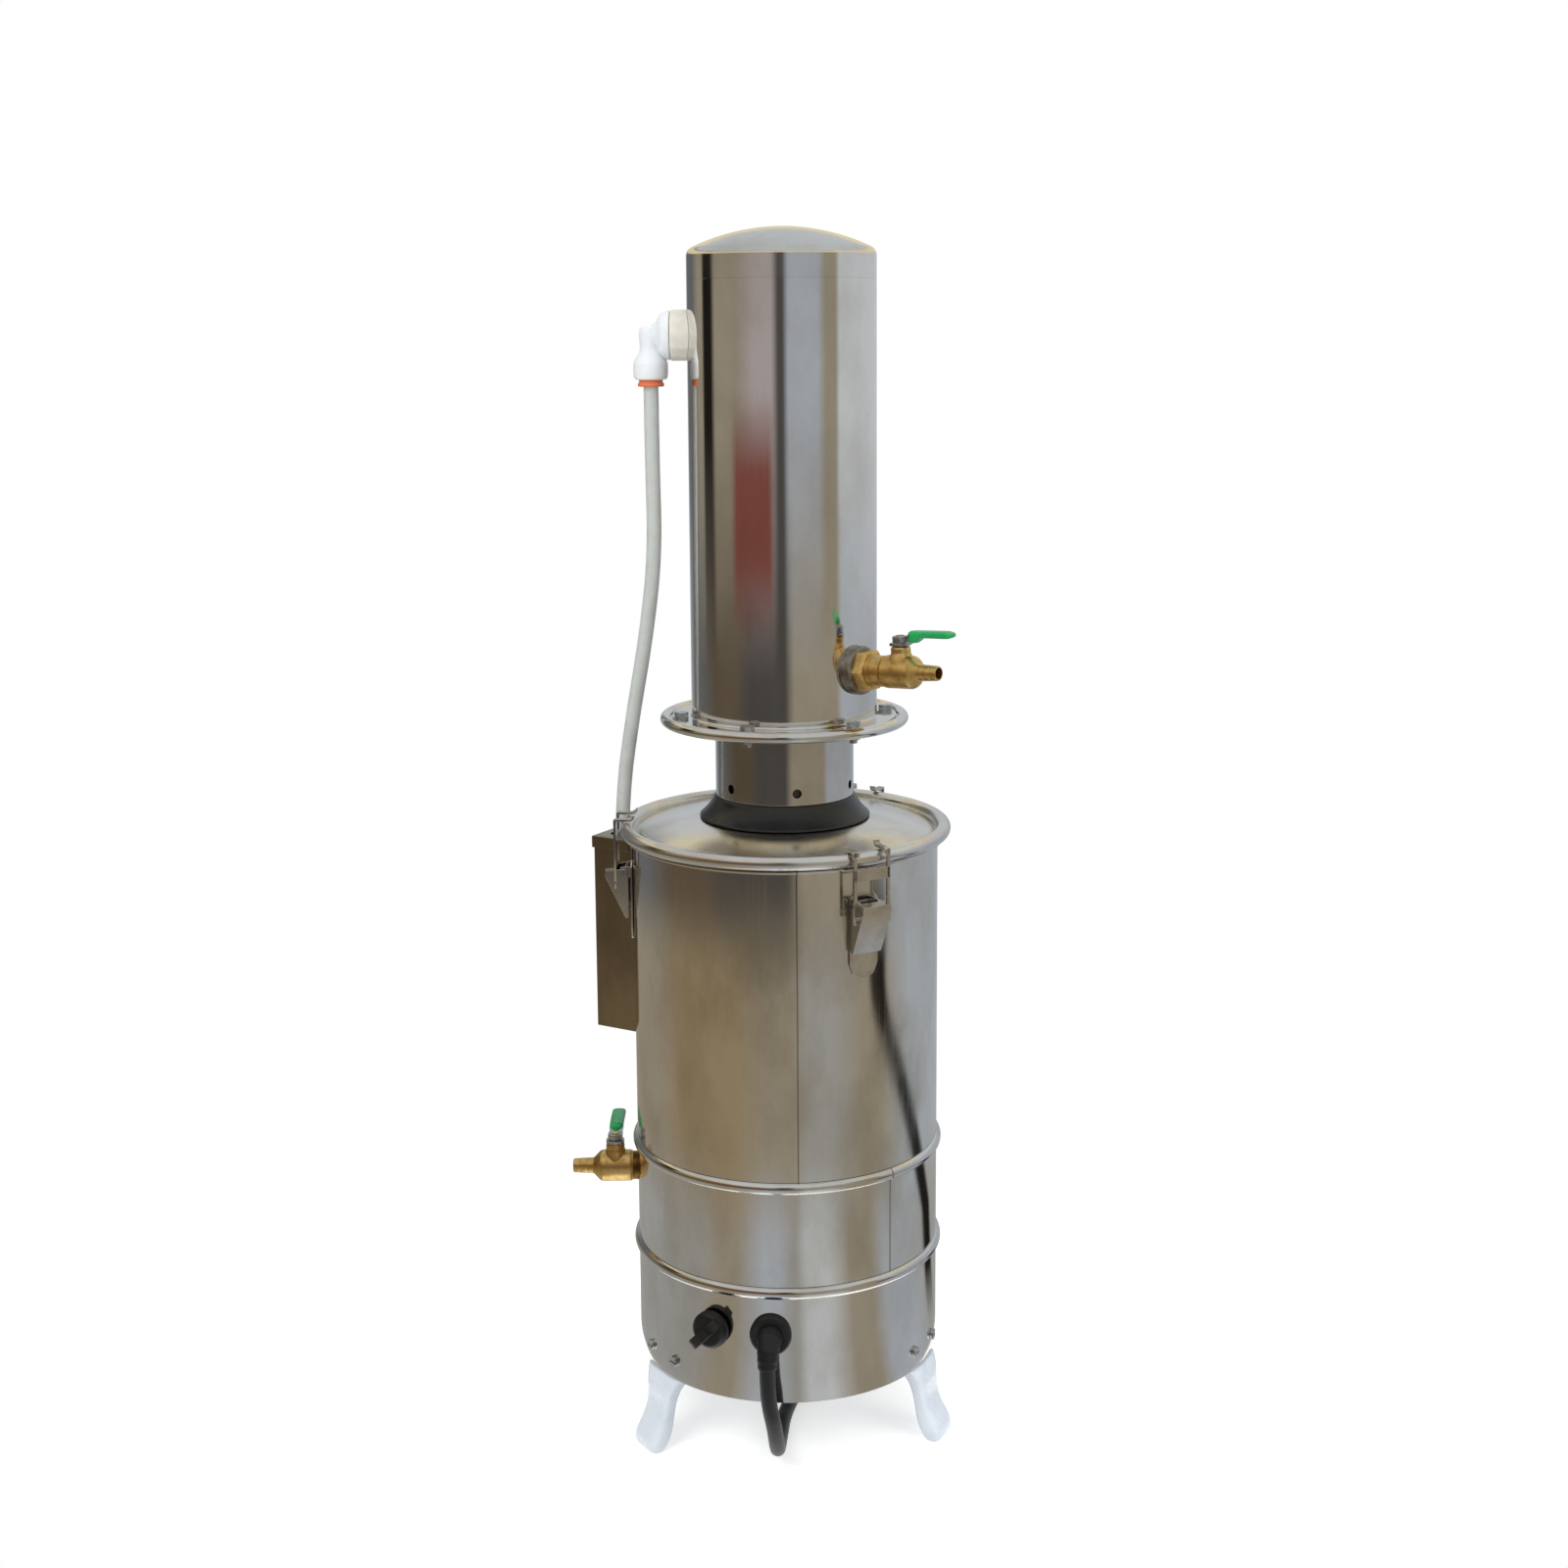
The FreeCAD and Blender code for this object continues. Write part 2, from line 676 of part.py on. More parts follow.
def coil_point(quarter):
    """A point and direction on the put-away coil after some quarter turns.

    The first layer spirals in and the second out again, and the climb between them takes
    the half turn about the innermost point.
    """
    middle = COIL_QUARTERS / 2
    climb_start = middle - 1
    inward = min(quarter, COIL_QUARTERS - quarter) / 4
    radius = COIL_OUTER - COIL_STEP * inward
    height = COIL_STEP * min(max((quarter - climb_start) / 2, 0), 1)
    angle = math.pi / 2 * quarter
    drift = COIL_STEP / (2 * math.pi)
    if quarter < middle:
        drift = -drift
    if quarter in (0, middle, COIL_QUARTERS):
        drift = 0.0
    rise = COIL_STEP / math.pi if climb_start < quarter < climb_start + 2 else 0.0
    point = COIL_CENTRE + Vector(radius * math.cos(angle), radius * math.sin(angle), height)
    way = Vector(drift * math.cos(angle) - radius * math.sin(angle),
                 drift * math.sin(angle) + radius * math.cos(angle), rise)
    return point, way.normalize()


def make_lead_coil():
    """The length that is put away: a neat coil in two layers, wound in and out again."""
    start, way = coil_point(0)
    edges = [Part.LineSegment(start - way * 10, start).toShape()]
    for quarter in range(COIL_QUARTERS):
        here, leaving = coil_point(quarter)
        there, arriving = coil_point(quarter + 1)
        edges += biarc(here, leaving, there, arriving)
    end, way = coil_point(COIL_QUARTERS)
    edges.append(Part.LineSegment(end, end + way * 10).toShape())
    wire = Part.Wire(edges)
    print("cable_coil least gap %.2f" % least_gap(wire, value("lead_radius")))
    keep("cable_coil", swept("cable_coil", wire, value("lead_radius")))
    return end + way * 10, way, wire.Length


def make_plug(end, way):
    """A heavy three-pin plug lying on the floor at the coil's end; its neck meets the cable."""
    x = "%.3f" % end.x
    height = "%.3f" % end.z
    neck = primitive("Cone", "plug_neck", spot(x, "%.3f" % end.y, height, (1, 0, 0), "90"),
                     Radius1="lead_radius + 0.9", Radius2="lead_radius + 4", Height="38.5")
    blank = block("plug_blank", ("%.3f - 12.5" % end.x, "%.3f - 74" % end.y, "0"),
                  ("25", "36", "2 * %s" % height))
    doc.recompute()
    soft = doc.addObject("Part::Fillet", "plug_soft")
    soft.Base = blank
    uprights = []
    for number, edge in enumerate(blank.Shape.Edges, start=1):
        along = edge.tangentAt(edge.FirstParameter)
        if abs(along.y) > 0.9 or (abs(along.z) > 0.9 and edge.CenterOfMass.y > end.y - 50):
            uprights.append((number, 5.0, 5.0))
    soft.Edges = uprights
    keep("plug_body", join("plug_body", soft, neck))
    pins = []
    for offset, rise, wide, thick in ((0, 6.0, 2.4, 7.0), (-7, -5.0, 7.0, 2.4), (7, -5.0, 7.0, 2.4)):
        pins.append(block("plug_pin", ("%.3f" % (end.x + offset - wide / 2), "%.3f - 93" % end.y,
                                       "%.3f" % (end.z + rise - thick / 2)),
                          ("%g" % wide, "19", "%g" % thick)))
    keep("plug_pins", group("plug_pins", *pins))


def make_electrics():
    blank = block("terminal_blank", ("12", "-8", "cover_level + cover_wall"), ("52", "24", "18"))
    pockets = [rod("terminal_well", "3.2", "8",
                   spot("%g" % (20.5 + 17.5 * step), "%g" % y, "cover_level + cover_wall + 12"))
               for step in range(3) for y in (-2, 10)]
    keep("terminal_block", cut("terminal_block", blank, *pockets))
    can = rod("cutout_can", "8", "9", spot("0", "25", "floor_level - 9"))
    flange = rod("cutout_flange", "12", "1", spot("0", "25", "floor_level - 1"))
    tabs = [block("cutout_tab", ("%g" % x, "22", "floor_level - 17"), ("0.8", "6", "9"))
            for x in (-5, 4.2)]
    keep("thermal_cutout", join("thermal_cutout", can, flange, *tabs))


def make_heating_element():
    """One sheathed tube: up through the floor, round the vessel and down again."""
    half = value("element_spread / 2")
    back = value(ELEMENT_BACK)
    floor = value("floor_level")
    level = floor + value("element_rise")
    points = [Vector(-half, back, floor - 22), Vector(-half, back, level),
              Vector(-half - 36, back - 2, level), Vector(-70, 2, level),
              Vector(-45, 56, level), Vector(1, 72, level), Vector(46, 56, level),
              Vector(70, 1, level), Vector(half + 36, back - 2, level),
              Vector(half, back, level), Vector(half, back, floor - 22)]
    radius = value("element_radius")
    keep("heating_element", swept("heating_element", routed_wire(points, "heating_element"), radius))
    nuts = []
    for side in (-1, 1):
        x = "%d * element_spread / 2" % side
        for low, high in (("floor_level - 6", "6"), ("floor_level + 1.5", "5")):
            blank = hexagon("element_nut_blank", "8", high, spot(x, ELEMENT_BACK, low))
            bore = rod("element_nut_bore", "element_radius + slip_gap", "20",
                       spot(x, ELEMENT_BACK, "floor_level - 8"))
            nuts.append(cut("element_nut", blank, bore))
    keep("element_nuts", group("element_nuts", *nuts))


# Lid

def make_lid():
    sheet_outline = [
        ("neck_radius - shell_wall", "neck_top"), ("neck_radius - shell_wall", "neck_foot - 1.5"),
        ("rim_centre_radius - 9", "lid_low + 1.5"), ("rim_centre_radius - 8", "lid_low"),
        ("rim_centre_radius - 1", "lid_low"), ("rim_centre_radius - 1", "lid_low + 1.2"),
        ("rim_centre_radius - 6.5", "lid_low + 1.2"), ("rim_centre_radius - 8", "lid_low + 3.2"),
        ("neck_radius", "neck_foot"), ("neck_radius", "neck_top")]
    dome = turned("lid_sheet", sheet_outline, {1: "-2", 7: "2"})
    rim = primitive("Torus", "lid_rim", spot("0", "0", "rim_height"),
                    Radius1="rim_centre_radius", Radius2="rim_radius")
    keep("lid", join("lid", dome, rim))
    seal = ring("lid_gasket_ring", "shell_radius + pot_flange - 1 - gasket_width",
                "shell_radius + pot_flange - 1", "gasket_low", "lid_low")
    groove = primitive("Torus", "lid_gasket_groove", spot("0", "0", "rim_height"),
                       Radius1="rim_centre_radius", Radius2="rim_radius + running_gap")
    flat_seal = cut("lid_flat_gasket", seal, groove)
    low, high = "neck_foot + running_gap", "flange_low - collar_height - running_gap"
    cone_seal = turned("neck_cone_seal", [("neck_radius + slip_gap", low), ("seal_radius", low),
                                          ("seal_radius", low + " + 1.2"),
                                          ("collar_radius + 1", high + " - 0.6"),
                                          ("collar_radius + 0.4", high),
                                          ("neck_radius + slip_gap", high)], {2: "-1"})
    keep("lid_gaskets", group("lid_gaskets", flat_seal, cone_seal))


# Condenser

def make_condenser_shells():
    collar = ring("collar_tube", "collar_radius - shell_wall", "collar_radius",
                  "flange_low - collar_height", "flange_low")
    vents = []
    for step in range(6):
        vents.append(wall_hole("collar_vent", "vent_radius", "10 + %d" % (60 * step),
                               "flange_low - collar_height + 8", "collar_radius"))
    keep("condenser_collar", cut("condenser_collar", collar, *vents))
    plate = ring("flange_disc", "riser_radius + slip_gap", "flange_radius", "flange_low", "flange_top")
    rim = primitive("Torus", "flange_rim", spot("0", "0", "flange_low + flange_plate / 2 + 1"),
                    Radius1="flange_radius", Radius2="flange_bead")
    holes = bolt_rods("flange_hole", "bolt_radius + slip_gap", "flange_low - 5", "20")
    keep("condenser_flange", cut("condenser_flange", join("flange_blank", plate, rim), *holes))
    seal = ring("flange_seal", "jacket_inner", "jacket_radius + jacket_foot", "flange_top", "jacket_low")
    keep("flange_gasket", cut("flange_gasket", seal,
                              *bolt_rods("seal_hole", "bolt_radius + slip_gap", "flange_low - 5", "20")))
    outline = [("jacket_inner", "jacket_low"), ("jacket_radius + jacket_foot", "jacket_low"),
               ("jacket_radius + jacket_foot", "jacket_low + 1.2"), ("jacket_radius", "jacket_low + 1.2"),
               ("jacket_radius", "jacket_top"), ("jacket_inner", "jacket_top")]
    shell = turned("jacket_tube", outline)
    tools = bolt_rods("jacket_bolt_hole", "bolt_radius + slip_gap", "flange_low - 5", "20")
    for azimuth, height, size in (("inlet_azimuth", "inlet_height", "nipple_radius + 1"),
                                  ("elbow_azimuth", "elbow_height", "8 + slip_gap"),
                                  ("spout_azimuth", SPOUT_HEIGHT, "spout_radius + slip_gap")):
        tools.append(wall_hole("jacket_hole", size, azimuth, height, "jacket_radius"))
    keep("condenser_shell", cut("condenser_shell", shell, *tools))


SPOUT_HEIGHT = "jacket_low + 13"
BOLT_START = 40


def bolt_rods(name, radius, low, length):
    """Six round bars on the bolt circle, parallel to the main axis."""
    rods = []
    for step in range(6):
        bar = rod(name, radius, length, spot())
        rods.append(place(bar, outward("%d" % (BOLT_START + 60 * step), "bolt_circle", low)))
    return rods


def make_bolts():
    bolts = []
    for shank, step in zip(bolt_rods("bolt_shank", "bolt_radius", "flange_low - 6", "12"), range(6)):
        azimuth = "%d" % (BOLT_START + 60 * step)
        head = hexagon("bolt_head", "4.6", "3.2", spot())
        place(head, outward(azimuth, "bolt_circle", "jacket_low + 1.2"))
        bolts.append(join("flange_bolt", shank, head))
    for bore, step in zip(bolt_rods("nut_bore", "bolt_radius + running_gap", "flange_low - 8", "12"),
                          range(6)):
        azimuth = "%d" % (BOLT_START + 60 * step)
        blank = hexagon("nut_blank", "4.6", "3.6", spot())
        place(blank, outward(azimuth, "bolt_circle", "flange_low - 3.6"))
        bolts.append(cut("flange_nut", blank, bore))
    keep("flange_bolts", group("flange_bolts", *bolts))


def make_cap():
    """Domed cap: a joggled ring inside the jacket, a short skirt flush with it, and a crown."""
    joggle = "jacket_inner - slip_gap"
    outline = [(joggle + " - 1", "jacket_top - 8"), (joggle, "jacket_top - 8"),
               (joggle, "jacket_top + 0.3"), ("jacket_radius", "jacket_top + 0.3"),
               ("jacket_radius", "cap_eave - 1"), ("jacket_radius - 4", "cap_eave + 4.6"),
               ("4", "cap_top"), ("0", "cap_top"), ("0", "cap_top - 1.2"),
               ("4", "cap_top - 1.2"), ("jacket_radius - 5", "cap_eave + 3.6"),
               (joggle + " - 1", "cap_eave - 1")]
    crown = "0.16 * cap_rise"
    keep("dome_cap", turned("dome_cap_shell", outline, {4: "1", 5: crown, 9: "-(%s)" % crown}))


def make_riser():
    outline = [("riser_radius - riser_wall", "flange_low - 6"), ("riser_radius", "flange_low - 6"),
               ("riser_radius", "flange_low + riser_height"), ("0", "flange_low + riser_height"),
               ("0", "flange_low + riser_height - 2"),
               ("riser_radius - riser_wall", "flange_low + riser_height - 2")]
    keep("steam_riser", turned("steam_riser_tube", outline))


def make_condenser_coil():
    """The steam coil: out of the riser, down in even turns and out to the spout at the back."""
    radius = value("coil_radius")
    top = value("flange_low + riser_height - 12")
    bottom = value(SPOUT_HEIGHT) + 1
    spout_angle = math.radians(value("spout_azimuth - 90"))
    start_angle = spout_angle - math.radians(55)
    turns = round((top - bottom) / value("coil_pitch"))
    quarters = turns * 4
    drop = (top - bottom) / quarters

    def helix(quarter):
        angle = start_angle - (quarters - quarter) * math.pi / 2
        point = Vector(radius * math.cos(angle), radius * math.sin(angle), top - drop * quarter)
        way = Vector(-radius * math.sin(angle), radius * math.cos(angle), -drop * 2 / math.pi)
        return point, way.normalize()

    first, first_way = helix(0)
    lead_angle = start_angle - quarters * math.pi / 2 - math.radians(100)
    outgoing = Vector(math.cos(lead_angle), math.sin(lead_angle), 0)
    tube = value("coil_tube")
    leave = outgoing * value("riser_radius + 0.1") + Vector(0, 0, top)
    edges = [Part.LineSegment(leave, leave + outgoing * 2 * tube * 0.5).toShape()]
    edges += biarc(leave + outgoing * tube, outgoing, first, first_way)
    for quarter in range(quarters):
        here, leaving = helix(quarter)
        there, arriving = helix(quarter + 1)
        edges += biarc(here, leaving, there, arriving)
    last, last_way = helix(quarters)
    radial = Vector(math.cos(spout_angle), math.sin(spout_angle), 0)
    meeting = radial * (value("jacket_inner") - 4) + Vector(0, 0, bottom - 1.0)
    edges += biarc(last, last_way, meeting - radial * tube, radial)
    edges.append(Part.LineSegment(meeting - radial * tube, meeting).toShape())
    wire = Part.Wire(edges)
    print("condenser_coil turns", turns, "least gap %.2f" % least_gap(wire, tube))
    keep("condenser_coil", swept("condenser_coil", wire, tube))


def make_spout():
    """The distillate outlet: a nipple through the jacket, a nut and a hose barb."""
    start = "jacket_inner - 4"
    stub = rod_out("spout_stub", "spout_radius", start, "22")
    nut = primitive("Prism", "spout_nut", spot("jacket_radius + 0.3", "0", "0", LENGTHWAYS, "90"),
                    Polygon="6", Circumradius="9.2", Height="6")
    barbs = [primitive("Cone", "spout_barb", spot("%s + %g" % (start, 22 + 5 * step), "0", "0",
                                                  LENGTHWAYS, "90"),
                       Radius1="5.2", Radius2="4.2", Height="5") for step in range(3)]
    bore = rod_out("spout_bore", "3", start + " - 1", "40")
    spout = cut("distillate_spout", join("spout_blank", stub, nut, *barbs), bore)
    keep("distillate_spout", place(spout, outward("spout_azimuth", "0", SPOUT_HEIGHT)))


def make_elbow():
    where = outward("elbow_azimuth", "0", "elbow_height")
    reach = "jacket_radius + elbow_reach"
    nut = rod_out("elbow_nut_blank", "elbow_nut", "jacket_radius - 4", "14.4")
    nut_bore = rod_out("elbow_nut_bore", "8 + slip_gap", "jacket_radius - 6", "20")
    nut_ring = place(cut("elbow_nut_ring", nut, nut_bore), where)
    saddle = rod("elbow_nut_saddle", "jacket_radius + running_gap", "80",
                 spot("0", "0", "elbow_height - 40"))
    keep("elbow_nut", cut("elbow_nut", nut_ring, saddle))
    tail = rod_out("elbow_tail", "8", "jacket_radius - 9", "elbow_reach + 9")
    drop = turned("elbow_drop", [("0", "7"), ("4.5", "7"), ("6.2", "4.5"), ("6.2", "-8"),
                                 ("11", "-17"), ("11", "-26"), ("9.8", "-28"), ("0", "-28")],
                  {1: "0.6", 3: "-0.6"})
    place(drop, spot(reach, "0", "0"))
    bulb = turned("elbow_bulb", [("0", "0"), ("elbow_nut - 0.4", "0"), ("elbow_nut - 0.4", "1"),
                                 ("9", "8.6"), ("0", "8.6")], {2: "1.6"})
    place(bulb, spot("jacket_radius + 10.6", "0", "0", LENGTHWAYS, "90"))
    tail_bore = rod_out("elbow_tail_bore", "3.5", "jacket_radius - 10", "elbow_reach + 10")
    drop_bore = rod("elbow_drop_bore", "3.5", "30", spot(reach, "0", "-30"))
    hose_seat = rod("elbow_hose_seat", "hose_bore", "14", spot(reach, "0", "-30"))
    collet_seat = rod("elbow_collet_seat", "collet_radius + running_gap", "11",
                      spot(reach, "0", "-30"))
    elbow = cut("outlet_elbow", join("elbow_blank", tail, bulb, drop), tail_bore, drop_bore, hose_seat,
                collet_seat)
    keep("outlet_elbow", place(elbow, where))
    sleeve = rod("collet_sleeve", "collet_radius", "8", spot(reach, "0", "-29"))
    lip = rod("collet_lip", "8.4", "2.4", spot(reach, "0", "-32.2"))
    neck = rod("collet_neck", "collet_radius", "3", spot(reach, "0", "-31"))
    bore = rod("collet_bore", "hose_bore", "20", spot(reach, "0", "-36"))
    keep("elbow_collet", place(cut("elbow_collet", join("collet_blank", sleeve, neck, lip), bore),
                               where))


# The cooling-water hose hangs from the elbow and ends inside the feed box.
HOSE_ROUTE = [
    (-83.49, 1.46, 705.8),
    (-83.49, 1.46, 645.0),
    (-82.6, 3.6, 583.0),
    (-90.0, 12.0, 527.0),
    (-101.0, 26.0, 470.0),
    (-109.6, 37.8, 414.0),
    (-111.0, 40.5, 360.0),
]


def make_hose():
    points = [Vector(*point) for point in HOSE_ROUTE]
    wire = routed_wire(points, "cooling_hose")
    keep("cooling_hose", swept("cooling_hose", wire, value("hose_radius"), value("hose_radius") - 1.6))


# Valves

def make_valve(node, frame, stem_x, boss, wall, adapter):
    """The brass housing of a small ball valve: nipple, washer, barrel, stem tower and nozzle.

    The local X axis runs along the flow from the wall, and Z up the stem, which stands at
    stem_x. boss is the washer's radius, wall the shell's, and adapter adds a hex and a waist.
    """
    barrel_start = stem_x + " - 13"
    pieces = [rod_out(node + "_nipple", "nipple_radius", "-12.6", stem_x),
              rod_out(node + "_barrel", "10.4", barrel_start, "23"),
              rod(node + "_tower", "6.2", "16", spot(stem_x, "0", "0")),
              primitive("Cone", node + "_tower_foot", spot(stem_x, "0", "6"),
                        Radius1="9", Radius2="6.2", Height="6"),
              primitive("Cone", node + "_nozzle_root",
                        spot(stem_x + " + 10", "0", "0", LENGTHWAYS, "90"),
                        Radius1="9.6", Radius2="5.4", Height="4.5"),
              primitive("Cone", node + "_nozzle",
                        spot(stem_x + " + 14.5", "0", "0", LENGTHWAYS, "90"),
                        Radius1="5.2", Radius2="4.6", Height="14")]
    if adapter:
        pieces.append(primitive("Prism", node + "_hex", spot("5", "0", "0", LENGTHWAYS, "90"),
                                Polygon="6", Circumradius="14", Height="8.4"))
        pieces.append(rod_out(node + "_waist", "9.8", "13", "inlet_reach - 26"))
    bore = rod_out(node + "_way", "valve_bore - 1", "-14", "90")
    seat = primitive("Sphere", node + "_seat", spot(stem_x, "0", "0"),
                     Radius="ball_radius + running_gap")
    stem_way = rod(node + "_stem_way", "stem_radius + running_gap", "20", spot(stem_x, "0", "0"))
    body = cut(node + "_body", join(node + "_blank", *pieces), bore, seat, stem_way)
    place(body, frame)
    disc = rod(node + "_washer_blank", boss, "9", spot())
    place(disc, frame, spot("-3", "0", "0", LENGTHWAYS, "90"))
    shell_room = rod(node + "_shell_room", wall, "600", spot())
    place(shell_room, outward("0", "0", "drain_height - 100"))
    way = rod(node + "_washer_way", "valve_bore - 1", "20", spot())
    place(way, frame, spot("-8", "0", "0", LENGTHWAYS, "90"))
    washer = cut(node + "_washer", disc, shell_room, way)
    keep(node + "_body", join(node + "_body", body, washer))


def make_valve_works(node, frame, stem_x, turn, inner_wall):
    """The pieces that turn together in a valve, and the nut inside the wall."""
    turned_frame = frame + " * " + spot(stem_x, angle=turn)
    ball = cut(node + "_ball",
               primitive("Sphere", node + "_ball_blank", spot(), Radius="ball_radius"),
               rod_out(node + "_ball_way", "valve_bore - 1", "-ball_radius - 1",
                       "2 * ball_radius + 2"),
               rod(node + "_ball_socket", "stem_radius + running_gap", "8",
                   spot("0", "0", "ball_radius - 2.5")))
    keep(node + "_ball", place(ball, turned_frame))
    keep(node + "_stem", place(rod(node + "_stem", "stem_radius", "19", spot()), turned_frame,
                               spot("0", "0", "ball_radius - 2.5")))
    hub = rod(node + "_hub", "6.2", "2.2", spot("0", "0", "16.3"))
    arm = padded(node + "_arm", "XZ_Plane",
                 [("-6", "16.3"), ("5", "16.3"), ("9", "18.2"), ("13", "18.2"), ("17", "21.4"),
                  ("handle_length - 1", "21.4"), ("handle_length + 1.2", "23.9"),
                  ("handle_length - 1", "26.4"), ("7.5", "26.4"), ("3.5", "18.5"),
                  ("-6", "18.5")],
                 "9.4", {})
    stem_hole = rod(node + "_handle_hole", "stem_radius + running_gap", "12", spot("0", "0", "14"))
    nut_room = rod(node + "_nut_room", "5.8", "12", spot("0", "0", "18.5"))
    handle = cut(node + "_handle", join(node + "_handle_blank", hub, arm), stem_hole, nut_room)
    keep(node + "_handle", place(handle, turned_frame))
    nut = cut(node + "_nut", hexagon(node + "_nut_blank", "5.4", "4", spot("0", "0", "18.6")),
              rod(node + "_nut_bore", "stem_radius + running_gap", "8", spot("0", "0", "16")))
    keep(node + "_nut", place(nut, turned_frame))
    wall_nut = cut(node + "_wall_nut",
                   primitive("Prism", node + "_wall_nut_blank",
                             spot(inner_wall + " - 4.5", "0", "0", LENGTHWAYS, "90"),
                             Polygon="6", Circumradius="11", Height="4.4"),
                   rod_out(node + "_wall_nut_bore", "nipple_radius + running_gap",
                           inner_wall + " - 6", "8"))
    keep(node + "_wall_nut", place(wall_nut, frame))


def make_valves():
    """The inlet valve stands open; the drain valve is shut, with its lever to the back."""
    inlet = outward("inlet_azimuth", "jacket_radius", "inlet_height", "inlet_tilt")
    make_valve("inlet_valve", inlet, "inlet_reach", "15.5", "jacket_radius + running_gap", True)
    make_valve_works("inlet_valve", inlet, "inlet_reach", "0", "-3.4")
    drain = outward("drain_azimuth", "shell_radius", "drain_height")
    make_valve("drain_valve", drain, "drain_reach", "9.4", "shell_radius + running_gap", False)
    make_valve_works("drain_valve", drain, "drain_reach", "-90", "-2.4")


# Feed box

def make_feed_box():
    where = outward("box_azimuth")
    outer = block("box_blank", ("shell_radius - 20", "-box_width / 2", "box_bottom"),
                  ("box_depth + 20", "box_width", "box_height - 1"))
    hollow = block("box_hollow", ("shell_radius - 25", "-box_width / 2 + sheet_wall",
                                  "box_bottom + sheet_wall"),
                   ("box_depth + 25 - sheet_wall", "box_width - 2 * sheet_wall", "box_height + 10"))
    boiler_room = rod("box_boiler_room", "shell_radius + slip_gap", "300",
                      spot("0", "0", "box_bottom - 50"))
    drip_hole = rod_across("box_overflow_hole", "5 + slip_gap", OVERFLOW_REACH,
                           "box_bottom + 14", "box_width / 2 + 10")
    near_half = block("box_near_half", ("shell_radius", "0", "box_bottom"),
                      ("box_depth + 10", "box_width", "40"))
    box = cut("feed_box", outer, hollow, boiler_room, cut("box_far_hole", drip_hole, near_half))
    keep("feed_box", place(box, where))
    cap = block("cover_blank", ("shell_radius - 20", "-box_width / 2 - sheet_wall",
                                "box_top - 7"),
                ("box_depth + 20 + sheet_wall + slip_gap", "box_width + 2 * sheet_wall", "7 + sheet_wall"))
    room = block("cover_room", ("shell_radius - 25", "-box_width / 2 - slip_gap",
                                "box_top - 10"),
                 ("box_depth + 25 + slip_gap", "box_width + 2 * slip_gap", "9"))
    cover_boiler = rod("cover_boiler_room", "shell_radius + slip_gap", "300",
                       spot("0", "0", "box_bottom - 50"))
    hose_hole = rod("cover_hose_hole", "hose_radius + 2.5", "30", spot("116.0", "20.5", "box_top - 10"))
    keep("feed_box_cover", place(cut("feed_box_cover", cap, room, cover_boiler, hose_hole), where))
    reach = value(OVERFLOW_REACH)
    level = value("box_bottom + 14")
    bend = 16.0
    wire = routed_wire([Vector(reach, 8, level + 75), Vector(reach, 8, level + bend),
                        Vector(reach, 8 - bend, level), Vector(reach, -60, level)])
    standpipe = swept("overflow_pipe", wire, 5.0, 4.0)
    keep("overflow_pipe", place(standpipe, where))


OVERFLOW_REACH = "shell_radius + 14"


# Latches

LATCH_NAMES = ("front", "left", "rear")
LATCH_TURNS = (0, -120, 120)


def latch_azimuth(turn):
    return "latch_azimuth + %d" % turn


def make_latch_brackets():
    brackets = []
    pins = []
    for turn in LATCH_TURNS:
        low = "latch_height - 48"
        high = "latch_height + 17"
        plate = padded("bracket_plate", "YZ_Plane",
                       [("-10", low + " + 8"), ("10", low + " + 8"), ("10", "latch_height + 4"),
                        ("6.4", "latch_height + 7"), ("6.4", high), ("-6.4", high),
                        ("-6.4", "latch_height + 7"), ("-10", "latch_height + 4")],
                       "strip_wall", {0: "7.9"})
        place(plate, spot("shell_radius + strip_wall / 2"))
        ears = [block("bracket_ear", ("shell_radius + 0.5", y, "latch_height - 4"),
                      ("latch_stand + 2.5", "strip_wall", "8"))
                for y in ("-7 - strip_wall / 2", "7 - strip_wall / 2")]
        rivets = [rod_out("bracket_rivet", "3.2", "shell_radius + strip_wall - 0.2", "1.4",
                          "0", "latch_height - %d" % drop) for drop in (40, 24)]
        hole = rod_across("bracket_pin_hole", "latch_pin", "pin_reach", "latch_height", "20")
        bracket = cut("latch_bracket", join("bracket_blank", plate, *ears, *rivets), hole)
        brackets.append(place(bracket, outward(latch_azimuth(turn))))
        pin = rod_across("latch_pin", "latch_pin", "pin_reach", "latch_height", "latch_width / 2")
        pins.append(place(pin, outward(latch_azimuth(turn)),
                          spot("pin_reach", "-latch_width / 2", "latch_height", CROSSWAYS, "90")))
    keep("latch_brackets", group("latch_brackets", *brackets))
    keep("latch_pins", group("latch_pins", *pins))


